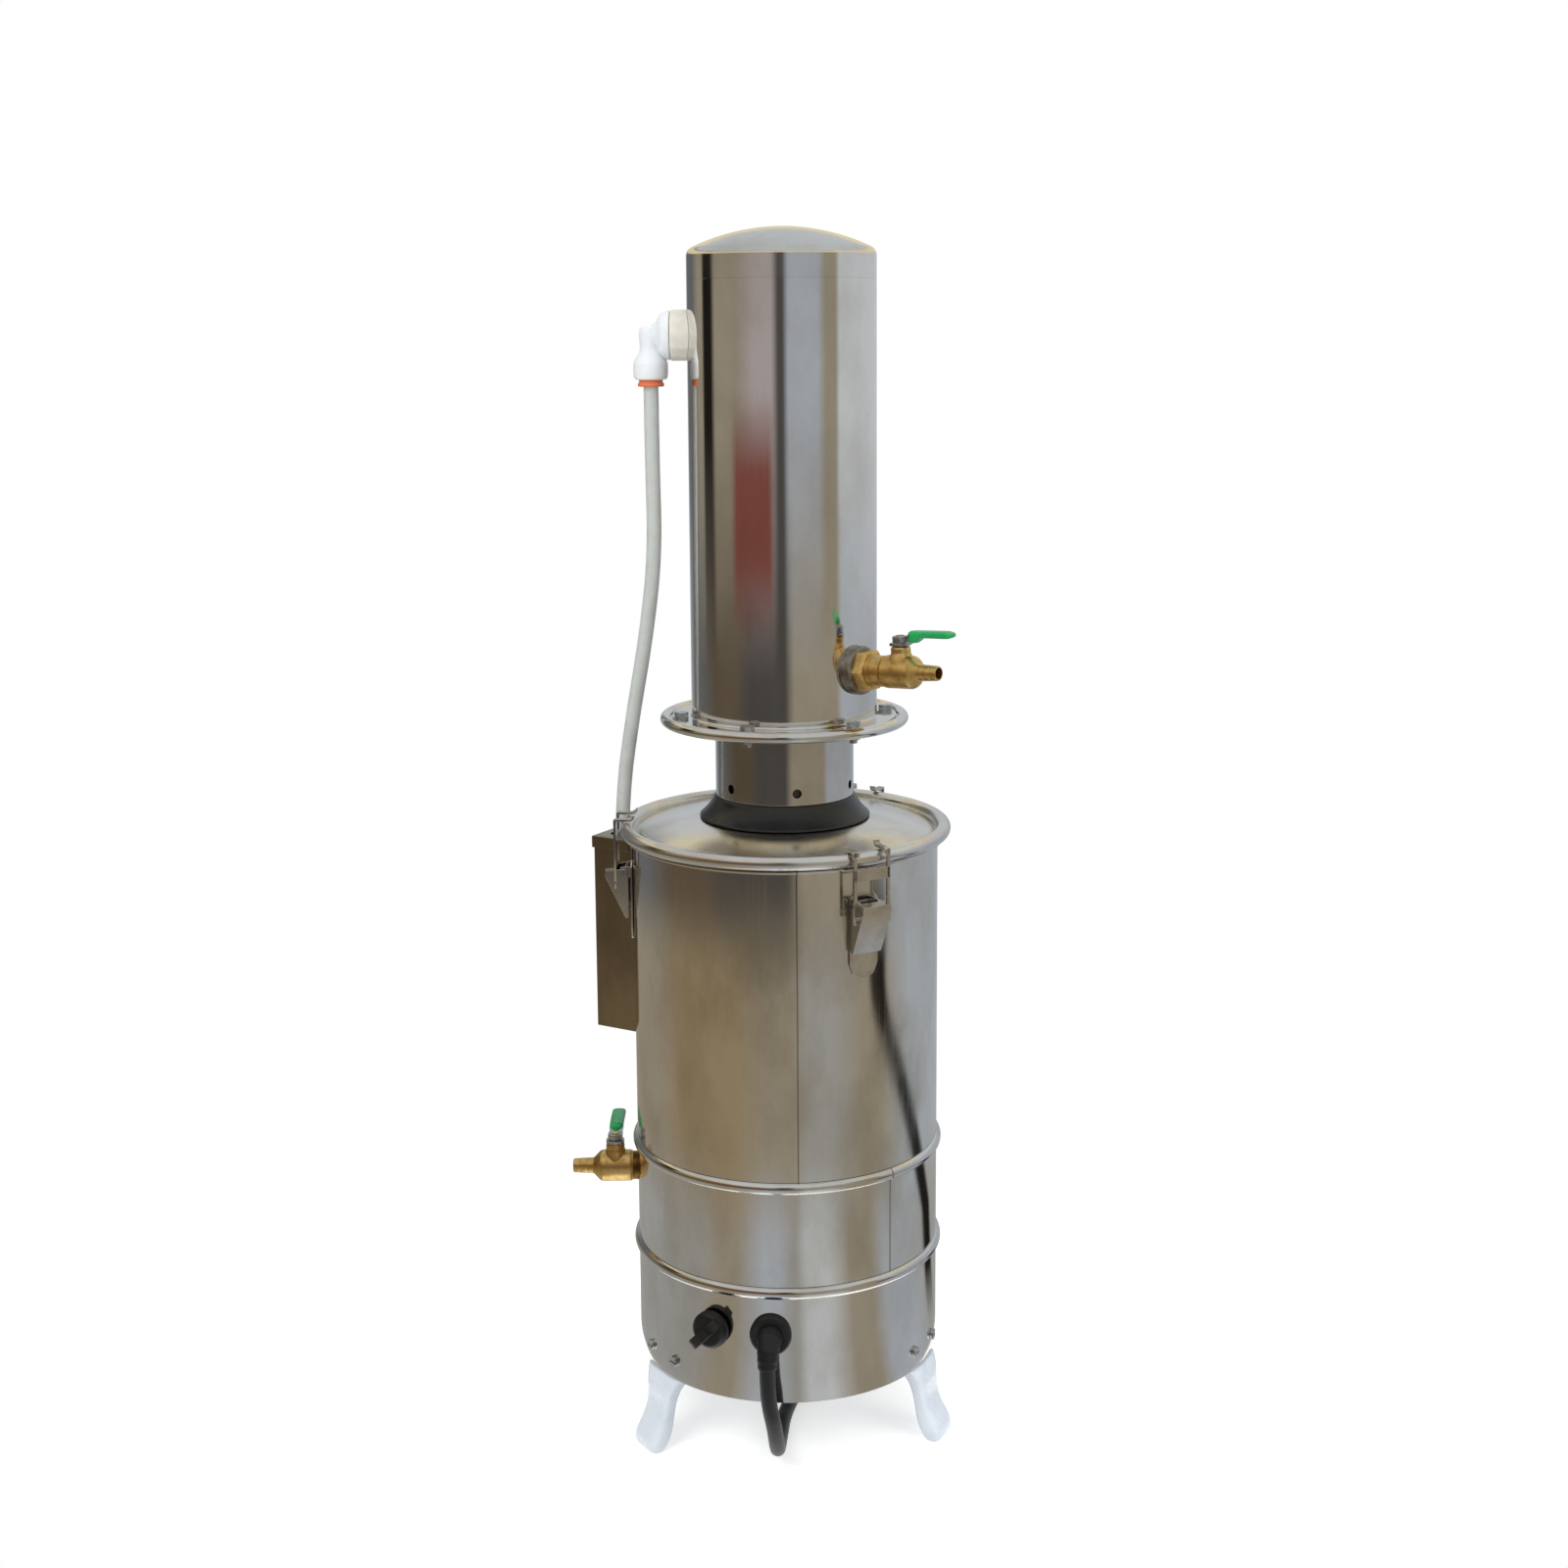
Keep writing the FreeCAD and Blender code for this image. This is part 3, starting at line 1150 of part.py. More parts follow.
def make_latch_levers():
    for name, turn in zip(LATCH_NAMES, LATCH_TURNS):
        x = "pin_reach"
        z = "latch_height"
        cheek = [(x + " - 2", z + " + 2.4"), (x + " + 12.6", z + " + 1.2"),
                 (x + " + 12.6", z + " - 2.5"), (x + " - 0.2", z + " - 30.5"),
                 (x + " - 2.6", z + " - 30.5"), (x + " - 2.6", z + " - 2")]
        blank = padded("lever_blank_" + name, "XZ_Plane", cheek, "latch_width")
        inside = [(x + " - 6", z + " + 8"), (x + " + 11.2", z + " + 8"),
                  (x + " + 11.2", z + " - 2.8"), (x + " - 1.4", z + " - 30.4"),
                  (x + " - 6", z + " - 30.4")]
        hollow = padded("lever_hollow_" + name, "XZ_Plane", inside, "latch_width - 2 * strip_wall + 0.2")
        pin_hole = rod_across("lever_pin_hole_" + name, "latch_pin + running_gap", x, z, "20")
        bail_hole = rod_across("lever_bail_hole_" + name, "1.2 + running_gap", BAIL_REACH,
                               BAIL_HEIGHT, "20")
        lip = block("lever_lip_" + name, (x + " + 9", "-latch_width / 2", z + " + 1.2"),
                    ("3.6", "latch_width", "1.2"))
        lever = cut("latch_lever_" + name, join("lever_sheet_" + name,
                                                cut("lever_channel_" + name, blank, hollow), lip),
                    pin_hole, bail_hole)
        keep("latch_lever_" + name, place(lever, outward(latch_azimuth(turn))))


BAIL_REACH = "pin_reach + 5.5"
BAIL_HEIGHT = "latch_height - 6"
HOOK_GAP = 0.5


def make_latch_bails():
    """A stamped frame with two hooks over the lid's rim, swinging on a pin in the lever."""
    for name, turn in zip(LATCH_NAMES, LATCH_TURNS):
        face = BAIL_REACH + " - 0.8"
        hook_low = "rim_top + %g" % HOOK_GAP
        side = [(face, BAIL_HEIGHT + " - 4"), (face + " + 1.6", BAIL_HEIGHT + " - 4"),
                (face + " + 1.6", hook_low + " + 1"), (face + " + 0.6", hook_low + " + 1.8"),
                ("rim_centre_radius - 4.4", hook_low + " + 1.8"),
                ("rim_centre_radius - 4.4", hook_low + " + 4.2"),
                ("rim_centre_radius - 6.2", hook_low + " + 4.2"),
                ("rim_centre_radius - 6.2", hook_low), (face, hook_low)]
        blank = padded("bail_blank_" + name, "XZ_Plane", side, "bail_width")
        window = block("bail_window_" + name, (face + " - 4", "-latch_width / 2 - 0.4",
                                               BAIL_HEIGHT + " - 6"),
                       ("8", "latch_width + 0.8", "rim_height - 8 - (%s - 6)" % BAIL_HEIGHT))
        notch = block("bail_notch_" + name, (face + " - 20", "-bail_width / 2 + 4.2", hook_low + " - 1"),
                      ("21.9", "bail_width - 8.4", "8"))
        pin = rod_across("bail_pin_" + name, "1.2", BAIL_REACH, BAIL_HEIGHT, "bail_width / 2 + 0.5")
        bail = join("latch_bail_" + name, cut("bail_plate_" + name, blank, window, notch), pin)
        keep("latch_bail_" + name, place(bail, outward(latch_azimuth(turn))))


def build():
    """Make every sub-part."""
    fill_sheet()
    make_base_skirt()
    make_feet()
    make_foot_screws()
    make_base_cover()
    make_band_and_floor()
    make_boiler_pot()
    make_switch()
    make_gland()
    make_strain_relief()
    free_length = make_lead()
    end, way, coil_length = make_lead_coil()
    print("mains lead in all %.0f" % (free_length + coil_length))
    make_plug(end, way)
    make_electrics()
    make_heating_element()
    make_lid()
    make_condenser_shells()
    make_bolts()
    make_cap()
    make_riser()
    make_condenser_coil()
    make_spout()
    make_elbow()
    make_hose()
    make_valves()
    make_feed_box()
    make_latch_brackets()
    make_latch_levers()
    make_latch_bails()
    doc.recompute()


def check_and_write():
    """Refuse a failed object or a broken shape, then write one STEP file for each sub-part."""
    failed = [item.Name for item in doc.Objects
              if "Invalid" in item.State or "Error" in item.State]
    if failed:
        raise RuntimeError("failed objects: " + ", ".join(failed))
    for node, thing in parts.items():
        if thing.Shape.isNull() or not thing.Shape.isValid() or not thing.Shape.Solids:
            raise RuntimeError("bad shape: " + node)
    if len(parts) > 60:
        raise RuntimeError("too many sub-parts: %d" % len(parts))
    os.makedirs("parts", exist_ok=True)
    for node, thing in parts.items():
        thing.Shape.exportStep("parts/%s.step" % node)
    print(len(parts), "sub-parts")


build()
check_and_write()
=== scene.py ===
"""Looks of the stainless-steel water distiller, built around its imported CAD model.

Sizes are millimetres until a mesh is made, and azimuths are degrees from the front,
positive to the right. The origin is on the floor under the boiler's axis.
"""
import math

import bmesh
import bpy
import numpy as np
from mathutils import Euler, Matrix, Vector


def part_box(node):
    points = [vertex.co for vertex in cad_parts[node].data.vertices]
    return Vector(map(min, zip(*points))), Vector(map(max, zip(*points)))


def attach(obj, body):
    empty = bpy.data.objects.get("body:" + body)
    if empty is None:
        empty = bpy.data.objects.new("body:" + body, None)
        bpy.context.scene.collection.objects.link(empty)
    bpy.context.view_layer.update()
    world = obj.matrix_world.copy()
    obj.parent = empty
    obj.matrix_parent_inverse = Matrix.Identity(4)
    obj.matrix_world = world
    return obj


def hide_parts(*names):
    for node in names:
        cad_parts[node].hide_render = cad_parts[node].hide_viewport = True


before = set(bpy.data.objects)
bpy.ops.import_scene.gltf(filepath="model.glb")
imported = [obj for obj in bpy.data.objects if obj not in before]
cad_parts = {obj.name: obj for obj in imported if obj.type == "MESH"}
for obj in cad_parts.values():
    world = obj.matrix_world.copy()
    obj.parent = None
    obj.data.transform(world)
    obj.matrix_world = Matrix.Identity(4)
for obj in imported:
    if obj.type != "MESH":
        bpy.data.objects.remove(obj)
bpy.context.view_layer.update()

MM = 0.001

# Where the CAD model's pieces end, in millimetres above the floor
COLLAR_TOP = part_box("condenser_collar")[1].z / MM
SHELL_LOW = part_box("condenser_shell")[0].z / MM
SHELL_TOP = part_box("condenser_shell")[1].z / MM
CAP_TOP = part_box("dome_cap")[1].z / MM
RIM_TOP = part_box("lid")[0].z / MM + 9.4

# Outer radii of the boiler's shells and of the condenser's jacket, and the sheet's thickness
SHELL = 100.0
JACKET = 60.2
SHEET = 1.0
# Profiles of solid pieces stop this far short of their axis
AXIS = 0.02

# Azimuths of the pieces that stand round the boiler and the jacket, and some of their heights
LATCHES = {"front": 28.5, "left": -91.5, "rear": 148.5}
FEET = {"left": -56.0, "right": 64.0, "rear": 184.0}
KNOB_AZIMUTH = -28.3
KNOB_TURN = 46.0
GLAND_AZIMUTH = -6.4
CONTROL_HEIGHT = 96.3
BOX_AZIMUTH = -120.0
ELBOW_AZIMUTH = -91.0
ELBOW_HEIGHT = 722.0
INLET_AZIMUTH = 50.0
INLET_HEIGHT = 512.5
INLET_TILT = 3.5
DRAIN_AZIMUTH = -90.0
DRAIN_HEIGHT = 170.0

# The camera's place in metres and its aim in degrees, fitted to the rims' ellipses
CAMERA_AWAY = 1.389
CAMERA_HEIGHT = 0.724
LOOK_DOWN = 9.0
CAMERA_ROLL = -0.38


# Camera

def make_camera():
    """Stands in front at the photograph's distance and height and looks a little down."""
    data = bpy.data.cameras.new("camera")
    data.lens = 49.7
    data.sensor_width = 36.0
    data.shift_y = -0.07
    data.clip_end = 50.0
    camera = bpy.data.objects.new("camera", data)
    aim = Euler((math.radians(90.0 - LOOK_DOWN), 0.0, 0.0)).to_matrix()
    roll = Matrix.Rotation(math.radians(CAMERA_ROLL), 3, "Z")
    camera.rotation_euler = (aim @ roll).to_euler()
    camera.location = (0.0, -CAMERA_AWAY, CAMERA_HEIGHT)
    bpy.context.scene.collection.objects.link(camera)
    bpy.context.scene.camera = camera


# Colours and nodes

def linear(code, alpha=1.0):
    """An sRGB hex colour as linear values: a power curve above a short straight foot."""
    values = np.array([int(code[i:i + 2], 16) for i in (1, 3, 5)]) / 255
    bent = np.where(values <= 0.04045, values / 12.92, ((values + 0.055) / 1.055) ** 2.4)
    return (*bent.tolist(), alpha)


def add(tree, kind, inputs=None, stops=None, **settings):
    """Adds one shader node with its settings, its inputs' values or links, and its stops.

    An input is named, or numbered where several have the same name.
    """
    made = tree.nodes.new("ShaderNode" + kind)
    for key, setting in settings.items():
        setattr(made, key, setting)
    for key, given in (inputs or {}).items():
        socket = made.inputs[key] if isinstance(key, int) else next(
            one for one in made.inputs if one.name == key and one.enabled)
        if isinstance(given, bpy.types.NodeSocket):
            tree.links.new(given, socket)
        else:
            socket.default_value = given
    if stops:
        elements = made.color_ramp.elements
        while len(elements) < len(stops):
            elements.new(1.0)
        for element, (place, colour) in zip(elements, stops):
            element.position = place
            element.color = colour
    return made


def mixed(node):
    """The output of a Mix node that its data type switches on."""
    return next(one for one in node.outputs if one.enabled)


WHITE = (1.0, 1.0, 1.0, 1.0)


def new_material(name):
    """An empty material and its node tree."""
    material = bpy.data.materials.new(name)
    material.use_nodes = True
    tree = material.node_tree
    tree.nodes.clear()
    return material, tree


def finish_material(tree, shader):
    """Joins a shader to the material's output."""
    add(tree, "OutputMaterial", {"Surface": shader.outputs[0]})


def scaled(tree, scale=(1.0, 1.0, 1.0), turn=(0.0, 0.0, 0.0)):
    """Object coordinates turned, and stretched by a scale for each axis."""
    place = add(tree, "TexCoord")
    return add(tree, "Mapping", {"Vector": place.outputs["Object"], "Scale": scale,
                                 "Rotation": turn}).outputs[0]


def steel(name, tint, dull, rough, mottle, seam=None):
    """Cold-rolled stainless sheet, formed and buffed.

    The eye sees a tinted mirror whose reflections waver with the sheet's springback, fine
    upright buffing lines, and cloudy patches where it was handled and heated. The weld seam,
    if there is one, stands at its azimuth from the front.
    """
    material, tree = new_material(name)
    # buffing lines about 1 mm apart and a hand long
    lines = add(tree, "TexNoise", {"Vector": scaled(tree, (1.0, 1.0, 0.012)), "Scale": 900.0,
                                   "Detail": 3.0, "Roughness": 0.6})
    # clouds of handling marks 30 to 60 mm across
    clouds = add(tree, "TexNoise", {"Vector": scaled(tree, (1.0, 1.0, 0.5)), "Scale": 24.0,
                                    "Detail": 5.0, "Roughness": 0.6})
    # springback of the rolled sheet, waves about 90 mm long
    sheet = add(tree, "TexNoise", {"Vector": scaled(tree, (1.0, 1.0, 0.4)), "Scale": 11.0,
                                   "Detail": 1.5, "Roughness": 0.4})
    tone = add(tree, "ValToRGB", {"Fac": clouds.outputs["Fac"]},
               stops=[(0.40, linear(tint)), (0.74, linear(dull))])
    veil = add(tree, "MapRange", {"Value": clouds.outputs["Fac"], "From Min": 0.45,
                                  "From Max": 0.78, "To Min": rough, "To Max": rough + mottle})
    grain = add(tree, "MapRange", {"Value": lines.outputs["Fac"], "From Min": 0.45,
                                   "From Max": 0.75, "To Min": 0.0, "To Max": 0.05})
    roughness = add(tree, "Math", {0: veil.outputs[0], 1: grain.outputs[0]}, operation="ADD")
    wavy = add(tree, "Bump", {"Height": sheet.outputs["Fac"], "Strength": 0.6,
                              "Distance": 0.00025})
    normal = add(tree, "Bump", {"Height": lines.outputs["Fac"], "Strength": 0.08,
                                "Distance": 0.00002, "Normal": wavy.outputs[0]})
    colour = tone.outputs["Color"]
    if seam is not None:
        # the upright weld where the sheet's edges meet, a line about 1 mm wide
        turned = scaled(tree, turn=(0.0, 0.0, math.radians(-seam)))
        way = add(tree, "SeparateXYZ", {0: turned})
        ahead = add(tree, "Math", {0: way.outputs["Y"], 1: 0.0}, operation="LESS_THAN")
        side = add(tree, "Math", {0: way.outputs["X"]}, operation="ABSOLUTE")
        near = add(tree, "MapRange", {"Value": side.outputs[0], "From Min": 0.0001,
                                      "From Max": 0.0007, "To Min": 1.0, "To Max": 0.0})
        weld = add(tree, "Math", {0: near.outputs[0], 1: ahead.outputs[0]},
                   operation="MULTIPLY")
        normal = add(tree, "Bump", {"Height": weld.outputs[0], "Strength": 0.6,
                                    "Distance": 0.0003, "Normal": normal.outputs[0]})
        scorched = add(tree, "Mix", {"Factor": weld.outputs[0], "A": colour,
                                     "B": linear("#8d867b")}, data_type="RGBA")
        colour = mixed(scorched)
    shader = add(tree, "BsdfPrincipled", {
        "Base Color": colour, "Metallic": 1.0, "Roughness": roughness.outputs[0],
        "Normal": normal.outputs[0]})
    finish_material(tree, shader)
    return material


def metal(name, tint, dull, rough, spread, size, bump):
    """Cast, drawn or turned metal: a clean tint with duller patches of a size in millimetres.

    The eye sees a soft sheen that breaks up where the skin is duller and rougher.
    """
    material, tree = new_material(name)
    patches = add(tree, "TexNoise", {"Vector": scaled(tree),
                                     "Scale": 1000.0 / size, "Detail": 6.0, "Roughness": 0.65})
    # a skin of small pits about 0.4 mm across
    pits = add(tree, "TexNoise", {"Vector": scaled(tree), "Scale": 2400.0,
                                  "Detail": 2.0})
    tone = add(tree, "ValToRGB", {"Fac": patches.outputs["Fac"]},
               stops=[(0.40, linear(tint)), (0.68, linear(dull))])
    roughness = add(tree, "MapRange", {"Value": patches.outputs["Fac"], "From Min": 0.35,
                                       "From Max": 0.7, "To Min": rough,
                                       "To Max": rough + spread})
    skin = add(tree, "Bump", {"Height": pits.outputs["Fac"], "Strength": bump,
                              "Distance": 0.00008})
    shader = add(tree, "BsdfPrincipled", {
        "Base Color": tone.outputs["Color"], "Metallic": 1.0,
        "Roughness": roughness.outputs[0], "Normal": skin.outputs[0]})
    finish_material(tree, shader)
    return material


def plastic(name, tint, shade, rough, grain, bump, soft=0.0, clear=0.0, coat=0.0):
    """Moulded plastic or rubber: nearly one colour, with faint dirt.

    The eye sees a broad highlight, broken by a moulded grain of a size in millimetres.
    """
    material, tree = new_material(name)
    dirt = add(tree, "TexNoise", {"Vector": scaled(tree), "Scale": 60.0,
                                  "Detail": 5.0, "Roughness": 0.7})
    mould = add(tree, "TexNoise", {"Vector": scaled(tree),
                                   "Scale": 1000.0 / grain, "Detail": 2.0})
    tone = add(tree, "ValToRGB", {"Fac": dirt.outputs["Fac"]},
               stops=[(0.45, linear(tint)), (0.75, linear(shade))])
    roughness = add(tree, "MapRange", {"Value": dirt.outputs["Fac"], "From Min": 0.3,
                                       "From Max": 0.7, "To Min": rough,
                                       "To Max": rough + 0.12})
    skin = add(tree, "Bump", {"Height": mould.outputs["Fac"], "Strength": bump,
                              "Distance": 0.0001})
    shader = add(tree, "BsdfPrincipled", {
        "Base Color": tone.outputs["Color"], "Roughness": roughness.outputs[0],
        "Normal": skin.outputs[0], "IOR": 1.49, "Subsurface Weight": soft,
        "Subsurface Scale": 0.002, "Transmission Weight": clear, "Coat Weight": coat})
    finish_material(tree, shader)
    return material


# Surfaces

def arc(start, end, stand, count=10):
    """Points along a circle's arc from start to end, standing out to the right by stand."""
    start, end = np.array(start, float), np.array(end, float)
    across = end - start
    chord = np.hypot(*across)
    normal = np.array([across[1], -across[0]]) / chord
    radius = chord ** 2 / (8 * abs(stand)) + abs(stand) / 2
    centre = (start + end) / 2 + normal * (stand - math.copysign(radius, stand))
    first = math.atan2(*(start - centre)[::-1])
    sweep = (math.atan2(*(end - centre)[::-1]) - first + math.pi) % (2 * math.pi) - math.pi
    angles = first + sweep * np.linspace(0, 1, count)
    return centre + radius * np.column_stack([np.cos(angles), np.sin(angles)])


def rounded(outline, radius, steps=4):
    """Each corner of a closed outline becomes a curve between points short of the corner.

    The curve is the quadratic blend of the two cut points and the corner, and a cut is
    the radius or 0.45 of the side, whichever is less.
    """
    corners = np.array(outline, float)
    before = np.roll(corners, 1, axis=0) - corners
    after = np.roll(corners, -1, axis=0) - corners
    before_length = np.maximum(np.linalg.norm(before, axis=1), 1e-9)[:, None]
    after_length = np.maximum(np.linalg.norm(after, axis=1), 1e-9)[:, None]
    first = corners + before / before_length * np.minimum(radius, 0.45 * before_length)
    last = corners + after / after_length * np.minimum(radius, 0.45 * after_length)
    t = np.linspace(0, 1, steps)[None, :, None]
    curve = ((1 - t) ** 2 * first[:, None] + 2 * t * (1 - t) * corners[:, None]
             + t ** 2 * last[:, None])
    return curve.reshape(-1, 2)


def loop_faces(rows, columns, close_rows=True, close_columns=True):
    """Quads over a grid of points, joined round in either direction."""
    i = np.arange(rows if close_rows else rows - 1)[:, None]
    j = np.arange(columns if close_columns else columns - 1)[None, :]
    i_next, j_next = (i + 1) % rows, (j + 1) % columns
    corners = [i * columns + j, i * columns + j_next, i_next * columns + j_next,
               i_next * columns + j]
    return np.stack([np.broadcast_to(c, (i.size, j.size)) for c in corners],
                    axis=-1).reshape(-1, 4).tolist()


def held(outline, near=0.3, long_side=4.0):
    """A closed outline whose long sides gain a point near each end, to keep them straight.

    Smooth shading would otherwise spread a corner's tilt along the whole side.
    """
    start = np.array(outline, float)
    side = np.roll(start, -1, axis=0) - start
    length = np.linalg.norm(side, axis=1)
    step = side / np.maximum(length, 1e-9)[:, None] * near
    rows = np.stack([start, start + step, start + side - step], axis=1)
    kept = np.ones(rows.shape[:2], bool)
    kept[:, 1:] = (length > long_side)[:, None]
    return rows[kept]


def revolved(outline, segments=160, along="z", phase=0.0):
    """A closed outline of (radius, place along the axis), carried round the axis.

    x is radius times the cosine of the angle, y radius times its sine.
    """
    outline = held(outline)
    angle = phase + np.arange(segments) * 2 * math.pi / segments
    radius, place = outline[:, :1], outline[:, 1:]
    x = radius * np.cos(angle)
    y = radius * np.sin(angle)
    z = np.broadcast_to(place, x.shape)
    order = {"z": (x, y, z), "x": (z, x, y), "y": (x, z, y)}[along]
    return np.stack(order, axis=-1).reshape(-1, 3), loop_faces(len(outline), segments)


def plain_ring(inner, outer, low, high):
    """The outline of a ring with square edges, or of a rod where inner is AXIS."""
    return [(inner, low), (outer, low), (outer, high), (inner, high)]


def round_bar(radius, height, thick, count):
    """The outline of a round bar bent into a hoop: a circle of radius thick at that place."""
    turn = np.arange(count) * 2 * math.pi / count
    return np.column_stack([radius + thick * np.cos(turn), height + thick * np.sin(turn)])


def slab(outline, low, high, across="y"):
    """A flat outline given thickness from low to high along one axis."""
    outline = np.array(outline, float)
    count = len(outline)
    a = np.concatenate([outline[:, 0]] * 2)
    b = np.concatenate([outline[:, 1]] * 2)
    c = np.repeat([low, high], count)
    order = {"x": (c, a, b), "y": (a, c, b), "z": (a, b, c)}[across]
    faces = loop_faces(2, count, close_rows=False)
    faces += [list(range(count)), list(range(count, 2 * count))]
    return np.column_stack(order), faces


def brick(low, high):
    """A block between two corners."""
    return slab(plain_ring(low[0], high[0], low[2], high[2]), low[1], high[1])


def lofted(centres, half_x, half_y, power=2.6, segments=48):
    """Rounded-square sections stacked up: x and y are powers of the cosine and the sine.

    The two ends are closed by shrinking the last section to its centre.
    """
    centres = np.array(centres, float)
    angle = np.arange(segments) * 2 * math.pi / segments
    cosine = np.sign(np.cos(angle)) * np.abs(np.cos(angle)) ** (2 / power)
    sine = np.sign(np.sin(angle)) * np.abs(np.sin(angle)) ** (2 / power)
    x = centres[:, :1] + np.array(half_x, float)[:, None] * cosine
    y = centres[:, 1:2] + np.array(half_y, float)[:, None] * sine
    z = np.broadcast_to(centres[:, 2:], x.shape)
    points = np.stack([x, y, z], axis=-1)
    ends = [np.repeat(points[k].mean(0)[None], segments, 0)[None] for k in (0, -1)]
    points = np.concatenate([ends[0], points, ends[1]])
    return points.reshape(-1, 3), loop_faces(len(points), segments, close_rows=False)


def piped(path, radii, side, segments=40, bore=None):
    """A round tube along points in one plane; side is the direction square to that plane.

    Each ring is radius times (cosine of the angle along side, sine along the path's normal).
    With a bore the rings run back inside, otherwise the ends shrink to a point.
    """
    path = np.array(path, float)
    side = np.array(side, float) / np.linalg.norm(side)
    along = np.gradient(path, axis=0)
    along /= np.linalg.norm(along, axis=1)[:, None]
    normal = np.cross(along, side)
    angle = np.arange(segments) * 2 * math.pi / segments
    ring = (np.cos(angle)[None, :, None] * side
            + np.sin(angle)[None, :, None] * normal[:, None, :])
    radii = np.broadcast_to(np.array(radii, float), (len(path),))
    outer = path[:, None] + radii[:, None, None] * ring
    if bore is None:
        rows = np.concatenate([np.repeat(path[:1, None], segments, 1), outer,
                               np.repeat(path[-1:, None], segments, 1)])
        return rows.reshape(-1, 3), loop_faces(len(rows), segments, close_rows=False)
    inner = (path[:, None] + bore * ring)[::-1]
    rows = np.concatenate([outer, inner])
    return rows.reshape(-1, 3), loop_faces(len(rows), segments)


def merged(*shapes):
    """Several shapes as one list of points and faces."""
    points, faces, start = [], [], 0
    for shape_points, shape_faces in shapes:
        points.append(np.asarray(shape_points, float))
        faces += [[index + start for index in face] for face in shape_faces]
        start += len(shape_points)
    return np.concatenate(points), faces


def moved(shape, x=0.0, y=0.0, z=0.0, turn=0.0, tilt=0.0, roll=0.0):
    """A shape rolled about X, tilted up about -Y, turned about Z, then moved."""
    points, faces = shape
    spin = (Matrix.Rotation(math.radians(turn), 3, "Z")
            @ Matrix.Rotation(math.radians(-tilt), 3, "Y")
            @ Matrix.Rotation(math.radians(roll), 3, "X"))
    return np.asarray(points) @ np.array(spin).T + (x, y, z), faces


def outward(shape, azimuth):
    """A shape whose X axis pointed away from the boiler's axis, turned to its azimuth."""
    return moved(shape, turn=azimuth - 90)


def new_object(name, shape):
    """A linked object at the origin, its points turned from millimetres to metres."""
    points, faces = shape
    mesh = bpy.data.meshes.new(name)
    mesh.from_pydata((np.asarray(points) * MM).tolist(), [], faces)
    made = bpy.data.objects.new(name, mesh)
    bpy.context.scene.collection.objects.link(made)
    return made


def piece(name, shape, material, body, nodes=(), bevel=0.0, sharp=35.0,
          weld=False, solve=False):
    """One object that rides on a body and may stand for CAD nodes.

    weld merges doubled points, and solve also turns the faces outwards.
    """
    made = new_object(name, shape)
    mesh = made.data
    mesh.validate()
    if weld or solve:
        work = bmesh.new()
        work.from_mesh(mesh)
        bmesh.ops.remove_doubles(work, verts=work.verts, dist=1e-6)
        if solve:
            bmesh.ops.recalc_face_normals(work, faces=work.faces)
        work.to_mesh(mesh)
        work.free()
    mesh.shade_smooth()
    mesh.set_sharp_from_angle(angle=math.radians(sharp))
    mesh.materials.append(material)
    if bevel:
        edge = made.modifiers.new("edges", "BEVEL")
        edge.width = bevel * MM
        edge.segments = 2
        edge.limit_method = "ANGLE"
        edge.angle_limit = math.radians(40)
        edge.harden_normals = True
    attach(made, body)
    if nodes:
        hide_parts(*nodes)
    return made


# Cords

def nurbs_cord(name, route, radius, material, body, nodes):
    """A smooth round line through the pull of its route's points."""
    data = bpy.data.curves.new(name, "CURVE")
    data.dimensions = "3D"
    spline = data.splines.new("NURBS")
    spline.points.add(len(route) - 1)
    flat = np.column_stack([np.array(route) * MM, np.ones(len(route))]).ravel()
    spline.points.foreach_set("co", flat)
    spline.order_u = 3
    spline.use_endpoint_u = True
    spline.resolution_u = 12
    data.bevel_depth = radius * MM
    data.bevel_resolution = 6
    data.use_fill_caps = True
    data.materials.append(material)
    made = bpy.data.objects.new(name, data)
    bpy.context.scene.collection.objects.link(made)
    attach(made, body)
    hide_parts(*nodes)
    return made


# Chosen one by one: down from the gland, under the boiler and back to the coil
LEAD_ROUTE = [
    (-13.309, -118.656, 82.85),
    (-13.309, -118.656, 62.0),
    (-9.0, -117.0, 42.0),
    (-7.5, -102.0, 20.0),
    (-7.0, -74.5, 5.1),
    (-2.0, -15.0, 5.1),
    (22.0, 45.0, 5.1),
    (50.0, 95.0, 5.1),
    (61.5, 140.0, 5.1),
    (61.5, 180.0, 5.1),
]
COIL_CENTRE = (0.0, 196.0, 5.1)
COIL_OUTER = 61.48
COIL_STEP = 10.5
COIL_TURNS = 3.5
# where the plug's back end lies on the floor
PLUG_BACK = 112.0
# Chosen one by one: down from the elbow and into the feed box
HOSE_ROUTE = [
    (-83.49, 1.46, 705.8),
    (-83.49, 1.46, 645.0),
    (-82.6, 3.6, 583.0),
    (-90.0, 12.0, 527.0),
    (-101.0, 26.0, 470.0),
    (-109.6, 37.8, 414.0),
    (-111.0, 40.5, 360.0),
]


